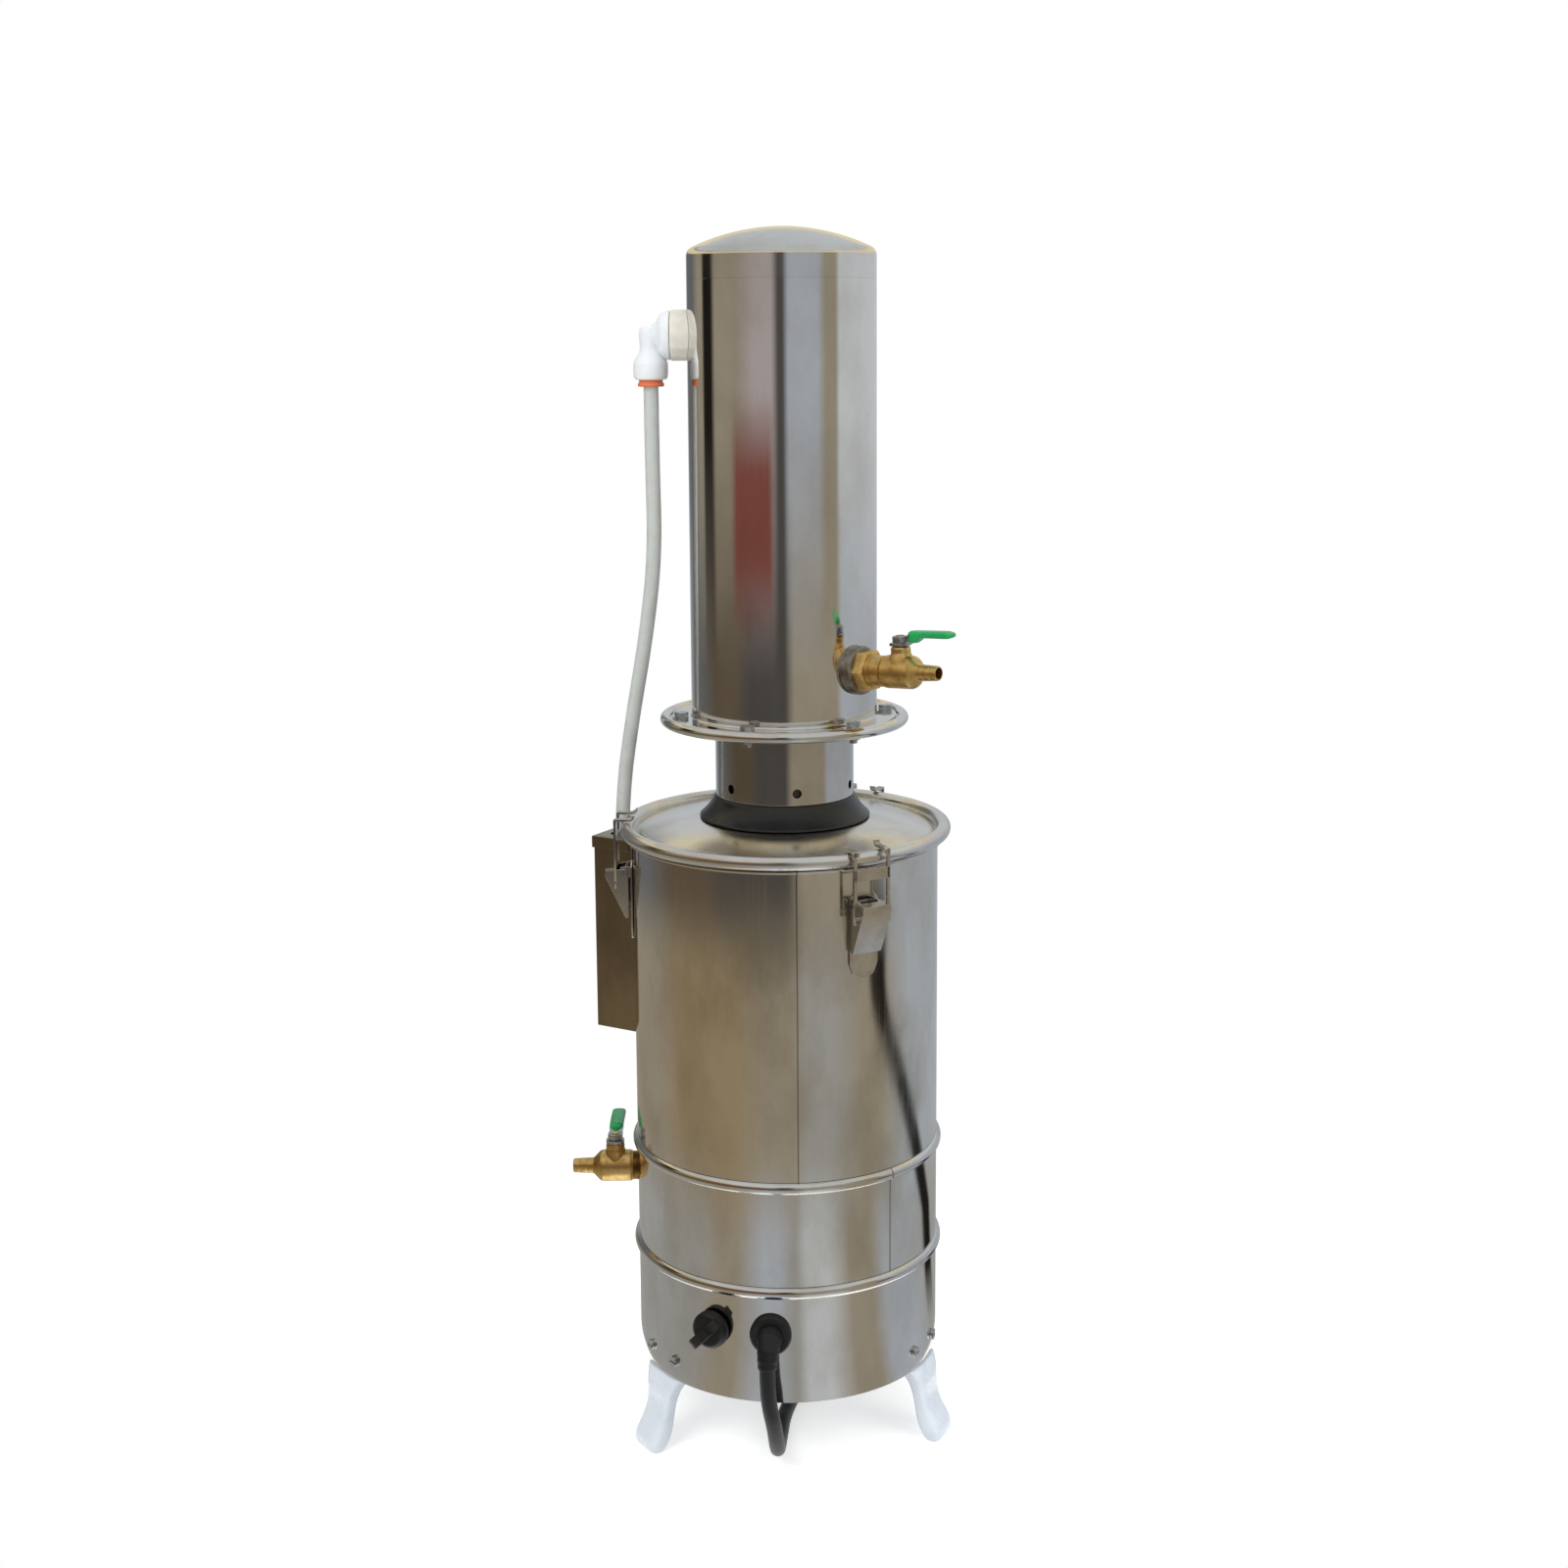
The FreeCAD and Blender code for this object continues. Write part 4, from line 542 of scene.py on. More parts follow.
def coil_route(per_turn=16):
    """The put-away coil: the radius falls steadily to the middle turn and grows again.

    The height climbs one layer in the half turn about the middle, and the points stand
    out from the line by the amount that the smooth curve cuts inside them.
    """
    turn = np.arange(0.5, COIL_TURNS * per_turn) / per_turn
    inward = np.minimum(turn, COIL_TURNS - turn)
    radius = (COIL_OUTER - COIL_STEP * inward) / math.cos(math.pi / per_turn)
    angle = 2 * math.pi * turn
    climb = np.clip((turn - COIL_TURNS / 2 + 0.25) / 0.5, 0, 1)
    points = np.column_stack([radius * np.cos(angle), radius * np.sin(angle),
                              COIL_STEP * climb]) + COIL_CENTRE
    return points.tolist()


def make_cords(finish):
    """The mains lead with its coil and plug, and the hose from the elbow to the feed box."""
    end = (-COIL_OUTER, COIL_CENTRE[1], COIL_CENTRE[2] + COIL_STEP)
    route = (LEAD_ROUTE + [(COIL_OUTER, COIL_CENTRE[1] - 6, COIL_CENTRE[2])] + coil_route()
             + [(end[0], end[1] - 6, end[2]), (end[0], end[1] - 10, end[2])])
    lead = nurbs_cord("mains_lead", route, 5.0, finish["cable"], "boiler",
                      ["mains_cable", "cable_coil"])
    plug = make_plug(finish)
    hose = nurbs_cord("water_hose", HOSE_ROUTE, 4.75, finish["hose"], "condenser",
                      ["cooling_hose"])


def make_plug(finish):
    """The plug: rounded sections along its length, with a ribbed neck towards the cable."""
    x, z = -COIL_OUTER, COIL_CENTRE[2] + COIL_STEP
    along = np.array([0, 1.5, 4, 30, 36, 38, 50, 62, 70, 74.0])
    half_wide = np.array([11.0, 12.2, 12.5, 12.5, 11.4, 8.4, 7.6, 6.8, 6.2, 5.8])
    half_high = np.array([14.0, 15.2, 15.5, 15.5, 13.4, 8.4, 7.6, 6.8, 6.2, 5.8])
    fine = np.linspace(0, 74, 90)
    ribs = np.where(fine > 40, 0.45 * np.cos(fine * 2 * math.pi / 5.0), 0.0)
    sections = np.column_stack([np.zeros_like(fine), np.zeros_like(fine), fine])
    points, faces = lofted(sections, np.interp(fine, along, half_wide) + ribs,
                           np.interp(fine, along, half_high) + ribs, power=3.0)
    # stood up along Z above; laid down here so that it runs along +Y
    laid = np.column_stack([points[:, 0] + x, points[:, 2] + PLUG_BACK, points[:, 1] + z])
    return piece("mains_plug", (laid, faces), finish["black"], "boiler", ["plug_body"],
                 weld=True, solve=True)


# Boiler

def make_boiler(finish):
    """Three stacked shells; the lower two swell into a bead, and the pot's mouth turns out."""
    inner = SHELL - SHEET
    bead_rise, bead_out = 7.9, 3.0
    for name, node, low, top in (("skirt", "base_skirt", 50.0, 127.4),
                                 ("band", "middle_band", 127.6, 196.9)):
        wall = np.vstack([[(inner, low), (SHELL, low)],
                          arc((SHELL, top - bead_rise), (SHELL, top), bead_out),
                          arc((inner, top), (inner, top - bead_rise), -bead_out)])
        piece(name, revolved(wall), finish[name], "boiler", [node])
    pot = np.vstack([[(99.0, 197.1), (100.0, 197.1), (100.0, 395.6)],
                     arc((100.2, 396.4), (101.4, 397.2), -0.4, 5),
                     [(103.9, 397.2), (104.0, 397.5), (103.9, 398.1), (100.4, 398.2)],
                     arc((99.8, 398.0), (99.0, 397.0), -0.3, 5)])
    piece("pot", revolved(pot), finish["pot"], "boiler", ["boiler_pot"])


def make_lid(finish):
    """A shallow cone with a round rolled rim, a neck painted dark brown-grey as the shade seen
    through the collar's vents, and a black cone seal on it.
    """
    top = COLLAR_TOP
    sheet = np.vstack([arc((42.3, 409.6), (94.8, 401.8), -2.0, 24),
                       [(95.6, 400.5), (96.2, 400.2), (102.6, 400.2), (102.8, 401.4),
                        (98.3, 401.5), (97.2, 402.0)],
                       arc((95.6, 403.5), (42.3, 411.2), 2.0, 24)])
    rim = round_bar(103.8, 403.5, 4.7, 40)
    piece("lid_cover", merged(revolved(sheet), revolved(rim)), finish["lid"], "boiler",
          ["lid"], sharp=50.0)
    # the neck shows only through the collar's vents; its dark tone is painted shade
    neck = [(41.1, 410.0), (42.1, 410.4), (42.1, top - 0.1), (41.1, top - 0.1)]
    piece("lid_neck", revolved(neck), finish["scaled_neck"], "boiler", ())
    low, high = 411.3, top - 48.3
    cone = np.vstack([[(42.2, low), (55.4, low), (55.7, low + 0.4), (55.5, low + 1.1)],
                      arc((55.2, low + 1.4), (46.0, high - 0.6), -1.0, 12),
                      [(45.4, high), (42.2, high)]])
    flat = rounded([(95.2, 398.3), (102.9, 398.3), (102.9, 398.8), (100.2, 400.1),
                    (95.2, 400.1)], 0.2, 3)
    piece("neck_seal", merged(revolved(cone), revolved(flat)), finish["silicone"], "boiler",
          ["lid_gaskets"])


# Condenser

def make_condenser(finish):
    """Collar with six vents, flange with a round rim, jacket with a turned-out foot, cap."""
    low = COLLAR_TOP - 48.2
    collar = rounded(plain_ring(44.0, 45.0, low, COLLAR_TOP), 0.3)
    made = piece("collar", revolved(collar, 192), finish["collar"], "condenser",
                 ["condenser_collar"])
    drill = moved(revolved(plain_ring(0.01, 3.0, 35.0, 50.0), 24, "x"), z=low + 8)
    first_vent = 10
    cut_away(made, merged(*(outward(drill, first_vent + 60 * step) for step in range(6))))
    disc = plain_ring(16.2, 76.0, COLLAR_TOP, COLLAR_TOP + 2.0)
    rim = round_bar(77.2, COLLAR_TOP + 2.0, 3.5, 32)
    piece("flange", merged(revolved(disc), revolved(rim)), finish["flange"], "condenser",
          ["condenser_flange"])
    shell = np.vstack([[(59.2, SHELL_LOW), (72.6, SHELL_LOW), (72.8, SHELL_LOW + 0.3),
                        (72.8, SHELL_LOW + 1.0), (72.4, SHELL_LOW + 1.2)],
                       arc((61.9, SHELL_LOW + 1.2), (JACKET, SHELL_LOW + 2.9), -0.5, 6),
                       [(JACKET, SHELL_TOP), (60.1, SHELL_TOP + 0.1), (59.3, SHELL_TOP + 0.1)]])
    piece("jacket", revolved(shell), finish["jacket"], "condenser", ["condenser_shell"])
    eave = SHELL_TOP + 16.0
    cap = np.vstack([[(58.1, SHELL_TOP - 8), (59.1, SHELL_TOP - 8), (59.1, SHELL_TOP + 0.2),
                      (60.1, SHELL_TOP + 0.2), (JACKET, SHELL_TOP + 0.3)],
                     arc((JACKET, eave - 1.0), (56.2, eave + 4.6), 1.0, 12)[:-1],
                     arc((56.2, eave + 4.6), (AXIS, CAP_TOP), 3.06, 60),
                     arc((AXIS, CAP_TOP - 1.2), (55.2, eave + 3.6), -2.9, 40),
                     [(58.0, eave - 0.6)]])
    piece("cap", revolved(cap), finish["cap"], "condenser", ["dome_cap"])


def cut_away(made, shape):
    """Takes a shape away from a piece and keeps the result as its mesh."""
    drill = new_object("drill", shape)
    change = made.modifiers.new("holes", "BOOLEAN")
    change.object = drill
    bpy.context.view_layer.update()
    graph = bpy.context.evaluated_depsgraph_get()
    result = bpy.data.meshes.new_from_object(made.evaluated_get(graph))
    made.modifiers.remove(change)
    result.set_sharp_from_angle(angle=math.radians(30))
    made.data = result
    bpy.data.objects.remove(drill)


# Valves

def make_valve(node, finish, body, turning, frame_of, stem, closed, adapter):
    """Brass ball valve along local X from the wall, with its stem up local Z at X = stem.

    Turned profiles along X and Z, a bent strip for the lever, and a rounded-square grip.
    The inlet has a hexagon adapter and a washer against the jacket, the drain has neither.
    """
    barrel = rounded([(AXIS, stem - 13.0), (9.0, stem - 13.0), (9.6, stem - 11.4),
                      (10.4, stem - 10.4), (10.4, stem + 8.6), (9.6, stem + 10.4),
                      (5.5, stem + 14.4), (5.2, stem + 15.0), (5.15, stem + 18.4),
                      (4.9, stem + 18.9), (5.05, stem + 19.6), (4.9, stem + 23.4),
                      (4.65, stem + 23.9), (4.8, stem + 24.6), (4.6, stem + 27.6),
                      (4.1, stem + 28.4), (3.5, stem + 28.4), (3.5, stem + 12.0),
                      (AXIS, stem + 12.0)], 0.6, 4)
    tower = rounded([(7.2, 5.0), (9.0, 5.0), (7.4, 9.4), (6.2, 12.0), (6.2, 14.8), (5.8, 15.9),
                     (2.7, 15.9), (2.7, 8.4), (7.2, 8.0)], 0.6)
    nipple = plain_ring(3.6, 6.9, -12.5, stem - 12.5)
    shapes = [revolved(barrel, 64, "x"), moved(revolved(tower, 48), x=stem),
              revolved(nipple, 40, "x")]
    if adapter:
        corner = rounded([(AXIS, 5.0), (13.2, 5.0), (14.0, 5.8), (14.0, 11.6), (12.6, 13.4),
                          (AXIS, 13.4)], 0.3, 3)
        waist = rounded([(AXIS, 12.6), (10.6, 12.6), (9.8, 14.6), (9.8, stem - 12.4),
                         (AXIS, stem - 12.4)], 0.6)
        shapes += [revolved(corner, 6, "x"), revolved(waist, 56, "x")]
    piece(node + "_housing", frame_of(merged(*shapes)), finish["brass"], body, (),
          bevel=0.25, sharp=30.0)
    boss, end = (15.5, 5.9) if adapter else (9.4, 5.4)
    washer = rounded([(7.0, 0.2), (boss, 0.2), (boss, end - 1.2), (boss - 1.4, end), (7.0, end)],
                     0.7)
    points, faces = revolved(washer, 72, "x")
    # the washer's back follows the round wall
    wall = JACKET if adapter else SHELL
    saddle = np.sqrt(wall ** 2 - points[:, 1] ** 2) - wall + 0.15
    points[:, 0] = np.where(points[:, 0] < 1.0, saddle, points[:, 0])
    # at the drain, the wall nut's dark brown brass is painted shade
    plate = piece(node + "_base", frame_of((points, faces)),
                  finish["grey_washer" if adapter else "washer"], body, ())
    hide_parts(node + "_body")
    turn = -90.0 if closed else 0.0

    def hold(shape):
        """Stands a shape on the stem, turned with it."""
        return frame_of(moved(shape, x=stem, turn=turn))

    path = np.array([(-5.4, 17.4), (4.6, 17.4), (6.6, 18.6), (8.6, 21.6), (10.6, 23.6)])
    strip = slab(rounded(strip_outline(path, 0.95), 0.3, 3), -4.5, 4.5)
    hub = revolved(rounded([(2.6, 16.4), (6.1, 16.4), (6.1, 18.4), (2.6, 18.4)], 0.4), 40)
    piece(node + "_lever", hold(merged(strip, hub)), finish["zinc"], turning, (),
          bevel=0.2, solve=True)
    reach = np.linspace(0, 1, 60)
    along = 7.2 + 33.8 * reach
    top = np.interp(along, [7.2, 9.0, 36.0, 41.0], [25.6, 26.3, 26.3, 25.4])
    low = np.interp(along, [7.2, 9.2, 13.0, 17.0, 20.0, 37.0, 41.0],
                    [18.8, 18.3, 18.5, 21.2, 21.6, 21.5, 22.4])
    ending = np.sqrt(np.clip(1 - ((reach - 0.5) * 2) ** 14, 0.02, 1))
    sections = np.column_stack([(top + low) / 2, np.zeros(60), along])
    points, faces = lofted(sections, (top - low) / 2 * ending, 4.65 * ending, power=3.0,
                           segments=40)
    grip = (np.column_stack([points[:, 2], points[:, 1], points[:, 0]]), faces)
    piece(node + "_grip", hold(grip), finish["green"], turning,
          [node + "_handle"], weld=True, solve=True)
    nut = rounded([(2.6, 18.6), (5.0, 18.6), (5.4, 19.0), (5.4, 22.2), (5.0, 22.6),
                   (2.6, 22.6)], 0.25, 3)
    piece(node + "_top_nut", hold(revolved(nut, 6)), finish["zinc"], turning,
          [node + "_nut"])


def strip_outline(path, half):
    """Both sides of a bent strip: the path moved by half its thickness each way."""
    along = np.gradient(path, axis=0)
    along /= np.linalg.norm(along, axis=1)[:, None]
    normal = np.column_stack([-along[:, 1], along[:, 0]])
    return np.vstack([path + normal * half, (path - normal * half)[::-1]])


def make_valves(finish):
    """The inlet valve on the jacket, tilted a little up, and the drain valve on the band."""
    def inlet(shape):
        tilted = moved(shape, tilt=INLET_TILT)
        return outward(moved(tilted, x=JACKET, z=INLET_HEIGHT), INLET_AZIMUTH)

    def drain(shape):
        return outward(moved(shape, x=SHELL, z=DRAIN_HEIGHT), DRAIN_AZIMUTH)

    make_valve("inlet_valve", finish, "condenser", "inlet_handle", inlet, 35.4, False, True)
    make_valve("drain_valve", finish, "boiler", "drain_handle", drain, 15.5, True, False)


# Water outlet elbow

def make_elbow(finish):
    """The push-fit elbow: a ridged nut, a turned tail, and a turned drop with its collet."""
    x = 83.5
    nut = rounded([(8.2, 60.5), (16.0, 60.5), (16.0, 69.8), (15.4, 70.5), (8.2, 70.5)], 0.8)
    points, faces = revolved(nut, 96, "x")
    radial = np.hypot(points[:, 1], points[:, 2])
    angle = np.arctan2(points[:, 2], points[:, 1])
    # shallow finger ridges round the nut
    ridges, depth, nut_radius = 12, 0.4, 16.0
    dip = depth / nut_radius * (0.5 - 0.5 * np.cos(ridges * angle))
    scale = np.where(radial > 13.5, 1 - dip, 1.0)
    points[:, 1:] *= scale[:, None]
    # the nut's back follows the round jacket
    points[:, 0] = np.where(points[:, 0] < 63.0, np.sqrt(60.3 ** 2 - points[:, 1] ** 2),
                            points[:, 0])

    def place(shape):
        """Stands a shape at the elbow's height and azimuth."""
        return outward(moved(shape, z=ELBOW_HEIGHT), ELBOW_AZIMUTH)

    piece("outlet_nut", place((points, faces)), finish["nut"], "condenser", ["elbow_nut"])
    tail = np.vstack([[(AXIS, 52.0), (7.9, 52.0), (7.9, 70.7), (15.2, 70.8), (15.6, 71.2),
                       (15.6, 71.8)], arc((15.6, 72.0), (9.0, 79.2), 1.6, 10),
                      [(7.8, 80.6), (7.0, 83.0), (AXIS, 83.0)]])
    drop = rounded([(4.9, -27.9), (9.4, -27.9), (10.6, -26.8), (11.0, -24.5), (11.0, -17.6),
                    (9.8, -15.0), (7.0, -10.2), (6.6, -7.0), (7.2, 0.0), (6.8, 4.6),
                    (4.4, 7.0), (AXIS, 7.2), (AXIS, -18.0), (4.9, -18.0)], 1.4, 6)
    piece("elbow", place(merged(revolved(tail, 64, "x"), moved(revolved(drop, 64), x=x))),
          finish["white"], "condenser", ["outlet_elbow"])
    collet = rounded([(4.87, -32.2), (8.0, -32.2), (8.4, -31.6), (8.4, -30.2), (7.6, -29.6),
                      (7.5, -21.1), (4.87, -21.1)], 0.3)
    piece("collet_ring", place(moved(revolved(collet, 64), x=x)), finish["collet"], "collet",
          ["elbow_collet"])


# Feet, controls and box

def make_feet(finish):
    """White moulded feet: a tab in the skirt, a waist, and a toe turned out.

    Rounded-square sections stacked up, eased between the levels. Each level is its height,
    its inner and outer reach from the boiler's axis, and its half width.
    """
    levels = [(74.0, 87.2, 98.4, 18.6), (73.4, 86.8, 98.8, 19.0), (50.2, 86.8, 98.8, 19.0),
              (50.0, 86.9, 101.4, 19.0), (46.0, 89.0, 103.4, 17.2), (40.0, 92.6, 105.2, 14.4),
              (32.0, 95.4, 105.4, 12.8), (24.0, 96.6, 107.2, 12.5), (16.0, 97.6, 111.2, 12.6),
              (9.5, 99.2, 116.0, 12.8), (5.0, 101.6, 116.6, 12.4), (2.0, 103.8, 115.6, 11.8),
              (0.6, 105.0, 114.4, 11.2), (0.02, 105.8, 113.4, 10.4)]
    z, inner, outer, wide = np.array(levels).T
    steps = np.linspace(0, len(levels) - 1, 80)
    index = np.arange(len(levels))
    z, inner, outer, wide = (np.interp(steps, index, v) for v in (z, inner, outer, wide))

    def eased(values):
        """The mean of seven neighbours, below the tab and above the sole."""
        mean = np.convolve(np.pad(values, 3, mode="edge"), np.ones(7) / 7, mode="valid")
        return np.where((z < 49) & (z > 1.5), mean, values)

    inner, outer, wide = eased(inner), eased(outer), eased(wide)
    centres = np.column_stack([(inner + outer) / 2, np.zeros(80), z])[::-1]
    points, faces = lofted(centres, ((outer - inner) / 2)[::-1], wide[::-1], power=4.0,
                           segments=64)
    wall = np.sqrt(98.85 ** 2 - points[:, 1] ** 2)
    points[:, 0] = np.where(points[:, 2] > 50.1, np.minimum(points[:, 0], wall), points[:, 0])
    for name, azimuth in FEET.items():
        piece("foot_moulding_" + name, outward((points, faces), azimuth), finish["foot"],
              "boiler", ["foot_" + name], weld=True, solve=True, sharp=60.0)


def make_controls(finish):
    """The knob with its pointer grip, and the mains gland with its ribbed quarter-turn boot."""
    skirt = rounded([(AXIS, 101.8), (12.0, 101.8), (12.0, 107.0), (9.6, 109.4), (AXIS, 109.4)],
                    1.0, 6)
    grip = slab(rounded([(106.2, -14.6), (112.0, -14.4), (116.6, -10.0), (117.5, -2.0),
                         (116.8, 7.0), (112.0, 11.4), (106.2, 11.6)], 2.4, 6), -3.4, 3.4, "z")
    knob = moved(merged(revolved(skirt, 72, "x"), grip), roll=KNOB_TURN, z=CONTROL_HEIGHT)
    piece("selector_knob", outward(knob, KNOB_AZIMUTH), finish["knob"], "knob", ["switch_knob"],
          bevel=0.6, solve=True)
    plate = rounded([(AXIS, 99.8), (13.4, 99.8), (13.4, 102.4), (12.2, 103.9), (AXIS, 103.9)],
                    0.8, 5)
    neck = plain_ring(AXIS, 9.9, 91.2, SHELL)
    gland = moved(merged(revolved(plate, 72, "x"), revolved(neck, 48, "x")), z=CONTROL_HEIGHT)
    piece("gland", outward(gland, GLAND_AZIMUTH), finish["black"], "boiler", ["cable_gland"])
    bend = np.linspace(0, math.pi / 2, 60)
    radius = 13.4
    path = np.column_stack([106.0 + radius * np.sin(bend), np.zeros(60),
                            CONTROL_HEIGHT - radius * (1 - np.cos(bend))])
    path = np.vstack([[(104.0, 0, CONTROL_HEIGHT), (105.0, 0, CONTROL_HEIGHT)], path])
    share = np.linspace(0, 1, len(path))
    ribs = 0.12 * np.sin(share * 2 * math.pi * 5.5)
    boot = piped(path, 8.0 - 2.1 * share + ribs, (0, 1, 0))
    piece("cord_boot", outward(boot, GLAND_AZIMUTH), finish["cable"], "boiler", ["strain_relief"],
          weld=True, solve=True, sharp=60.0)


def make_feed_box(finish):
    """The feed box: three sides and a floor against the round pot, a lid, and its tube."""
    box_gap = 0.12

    def wall(y):
        """How far out the pot's surface lies, y to the side of the box's middle."""
        return math.sqrt((SHELL + box_gap) ** 2 - y * y)

    outline = [(wall(35), 35.0), (128.5, 35.0), (128.5, -35.0), (wall(35), -35.0),
               (wall(34), -34.0), (127.5, -34.0), (127.5, 34.0), (wall(34), 34.0)]
    box = slab(outline, 257.0, 387.4, "z")
    sides = np.linspace(-34.4, 34.4, 24)
    floor = slab([(wall(y), y) for y in sides] + [(127.9, 34.4), (127.9, -34.4)],
                 257.1, 258.1, "z")
    piece("water_box", outward(merged(box, floor), BOX_AZIMUTH), finish["box"], "boiler",
          ["feed_box"], bevel=0.5, solve=True)
    sides = np.linspace(-36.0, 36.0, 25)
    top = slab([(wall(y), y) for y in sides] + [(129.6, 36.0), (129.6, -36.0)],
               388.6, 389.5, "z")
    skirt_outline = [(wall(36), 36.0), (129.6, 36.0), (129.6, -36.0), (wall(36), -36.0),
                     (wall(35.1), -35.1), (128.65, -35.1), (128.65, 35.1), (wall(35.1), 35.1)]
    skirt = slab(skirt_outline, 381.6, 388.7, "z")
    cover = piece("box_cover", outward(merged(top, skirt), BOX_AZIMUTH), finish["box"], "boiler",
                  ["feed_box_cover"], bevel=0.3, solve=True)
    hole = revolved(plain_ring(0.01, 7.2, 384.0, 394.0), 40)
    cut_away(cover, outward(moved(hole, x=116.0, y=20.5), BOX_AZIMUTH))
    bend = np.linspace(0, math.pi / 2, 16)
    path = np.vstack([[(114.0, 8.0, 346.0), (114.0, 8.0, 300.0)],
                      np.column_stack([np.full(16, 114.0), 8.0 - 16.0 * (1 - np.cos(bend)),
                                       287.0 - 16.0 * np.sin(bend)]),
                      [(114.0, -30.0, 271.0), (114.0, -60.0, 271.0)]])
    piece("overflow_tube", outward(piped(path, 5.0, (1, 0, 0), 32, 4.0), BOX_AZIMUTH),
          finish["tube"], "boiler", ["overflow_pipe"], solve=True)


# Latches

def make_latches(finish):
    """Three toggle latches: a plate with two ears, a bent tongue, and a frame with hooks.

    x and z are the lever's pin, and the pieces are flat outlines given thickness.
    """
    x, z = 105.5, 374.0
    for name, azimuth in LATCHES.items():
        plate = rounded([(-10.0, 345.0), (-10.0, 336.0), (-7.2, 329.0), (0.0, 326.1),
                         (7.2, 329.0), (10.0, 336.0), (10.0, z + 4.0), (6.4, z + 7.0),
                         (6.4, z + 17.0), (-6.4, z + 17.0), (-6.4, z + 7.0), (-10.0, z + 4.0)],
                        1.2)
        ears = [slab(rounded([(101.0, z - 4.0), (x + 3.0, z - 3.2), (x + 3.4, z),
                              (x + 3.0, z + 3.2), (101.0, z + 4.0)], 1.5), y - 0.75, y + 0.75)
                for y in (-7.0, 7.0)]
        held_plate = piece("latch_plate_" + name,
                           outward(merged(slab(plate, 100.2, 101.5, "x"), *ears), azimuth),
                           finish["latch"], "boiler", (), bevel=0.3, solve=True)
        if name == "front":
            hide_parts("latch_brackets")
        front = [(x + 12.5, z + 1.8), (x + 12.5, z - 2.5), (x - 0.3, z - 30.4),
                 (x - 1.6, z - 30.4), (x + 11.2, z - 2.9), (x + 11.2, z + 1.8)]
        ledge = [(x + 5.0, z + 2.0), (x + 12.5, z + 1.4), (x + 12.5, z + 2.4),
                 (x + 5.0, z + 3.1)]
        cheek = [(x - 2.0, z + 2.4), (x + 12.3, z + 1.3), (x + 12.3, z - 2.5),
                 (x - 0.3, z - 30.4), (x - 2.6, z - 30.4), (x - 2.6, z - 2.0)]
        cheeks = [slab(rounded(cheek, 1.0), low, high)
                  for low, high in ((-10.2, -8.9), (8.9, 10.2))]
        tongue = merged(slab(front, -10.1, 10.1), slab(ledge, -10.1, 10.1), *cheeks)
        piece("latch_tongue_" + name, outward(tongue, azimuth),
              finish["latch"], "lever_" + name, ["latch_lever_" + name],
              bevel=0.3, solve=True)
        face, foot, hook = x + 4.7, z - 6.0, RIM_TOP + 0.5
        legs = [slab(rounded([(a, foot - 4.0), (b, foot - 4.0), (b, hook + 1.4),
                              (a, hook + 1.4)], 1.0), face, face + 1.6, "x")
                for a, b in ((-13.0, -10.6), (10.6, 13.0))]
        bar = brick((face, -12.9, 391.5), (face + 1.6, 12.9, 398.6))
        hook_side = [(face + 1.6, hook - 2.0), (face + 1.6, hook + 1.0), (face + 0.6, hook + 1.7),
                     (101.3, hook + 1.7), (99.5, hook + 2.4), (98.9, hook + 4.2),
                     (97.7, hook + 4.0), (98.3, hook + 1.6), (100.2, hook + 0.2),
                     (face, hook + 0.1), (face, hook - 2.0)]
        hooks = [slab(hook_side, low, high) for low, high in ((-13.0, -8.9), (8.9, 13.0))]
        pin = moved(revolved(plain_ring(AXIS, 1.2, -13.4, 13.4), 20, "y"), x=x + 5.5, z=foot)
        piece("latch_hook_" + name, outward(merged(*legs, bar, *hooks, pin), azimuth),
              finish["latch"], "bail_" + name, ["latch_bail_" + name],
              bevel=0.25, solve=True)


# Studio

# The tones of the room that the polished steel mirrors, a plain palette.
TONES = {
    "pale": "#b0b4b8", "cool": "#989ea6", "grey": "#8e8e8c", "plaster": "#989090",
    "beige": "#888072", "wood": "#867860", "brown": "#544a3e", "slate": "#5c5e60",
    "shade": "#444240", "black": "#181614", "rust": "#6e4038", "cream": "#ccc0a0",
}
# Where each level starts, in metres out along the floor and then up the wall, over how many
# metres it blends in, and its fields: left and right edge in degrees from the front, tone.
LEVELS = [
    (0.00, 0.01, [(-180, -60, "grey"), (-48, -34, "beige"), (-16, -6, "cool"), (3, 6, "grey"),
                  (12, 26, "pale"), (42, 58, "beige"), (70, 90, "cool"), (120, 180, "grey")]),
    (0.53, 0.18, [(-180, -100, "beige"), (-84, -36, "wood"), (-16, 4, "beige"),
                  (14, 34, "grey"), (56, 70, "beige"), (100, 180, "cool")]),
    (1.09, 0.08, [(-180, -160, "cool"), (-140, -122, "slate"), (-90, -58, "brown"),
                  (-42, 2, "shade"), (12, 66, "beige"), (74, 180, "cool")]),
    (1.49, 0.26, [(-180, -166, "pale"), (-157, -133, "slate"), (-118, -109, "beige"),
                  (-106, -92, "black"), (-86, -56, "beige"), (-34, -12, "plaster"),
                  (-5, 1, "shade"), (7, 42, "cool"), (52, 66, "beige"), (71, 180, "pale")]),
]


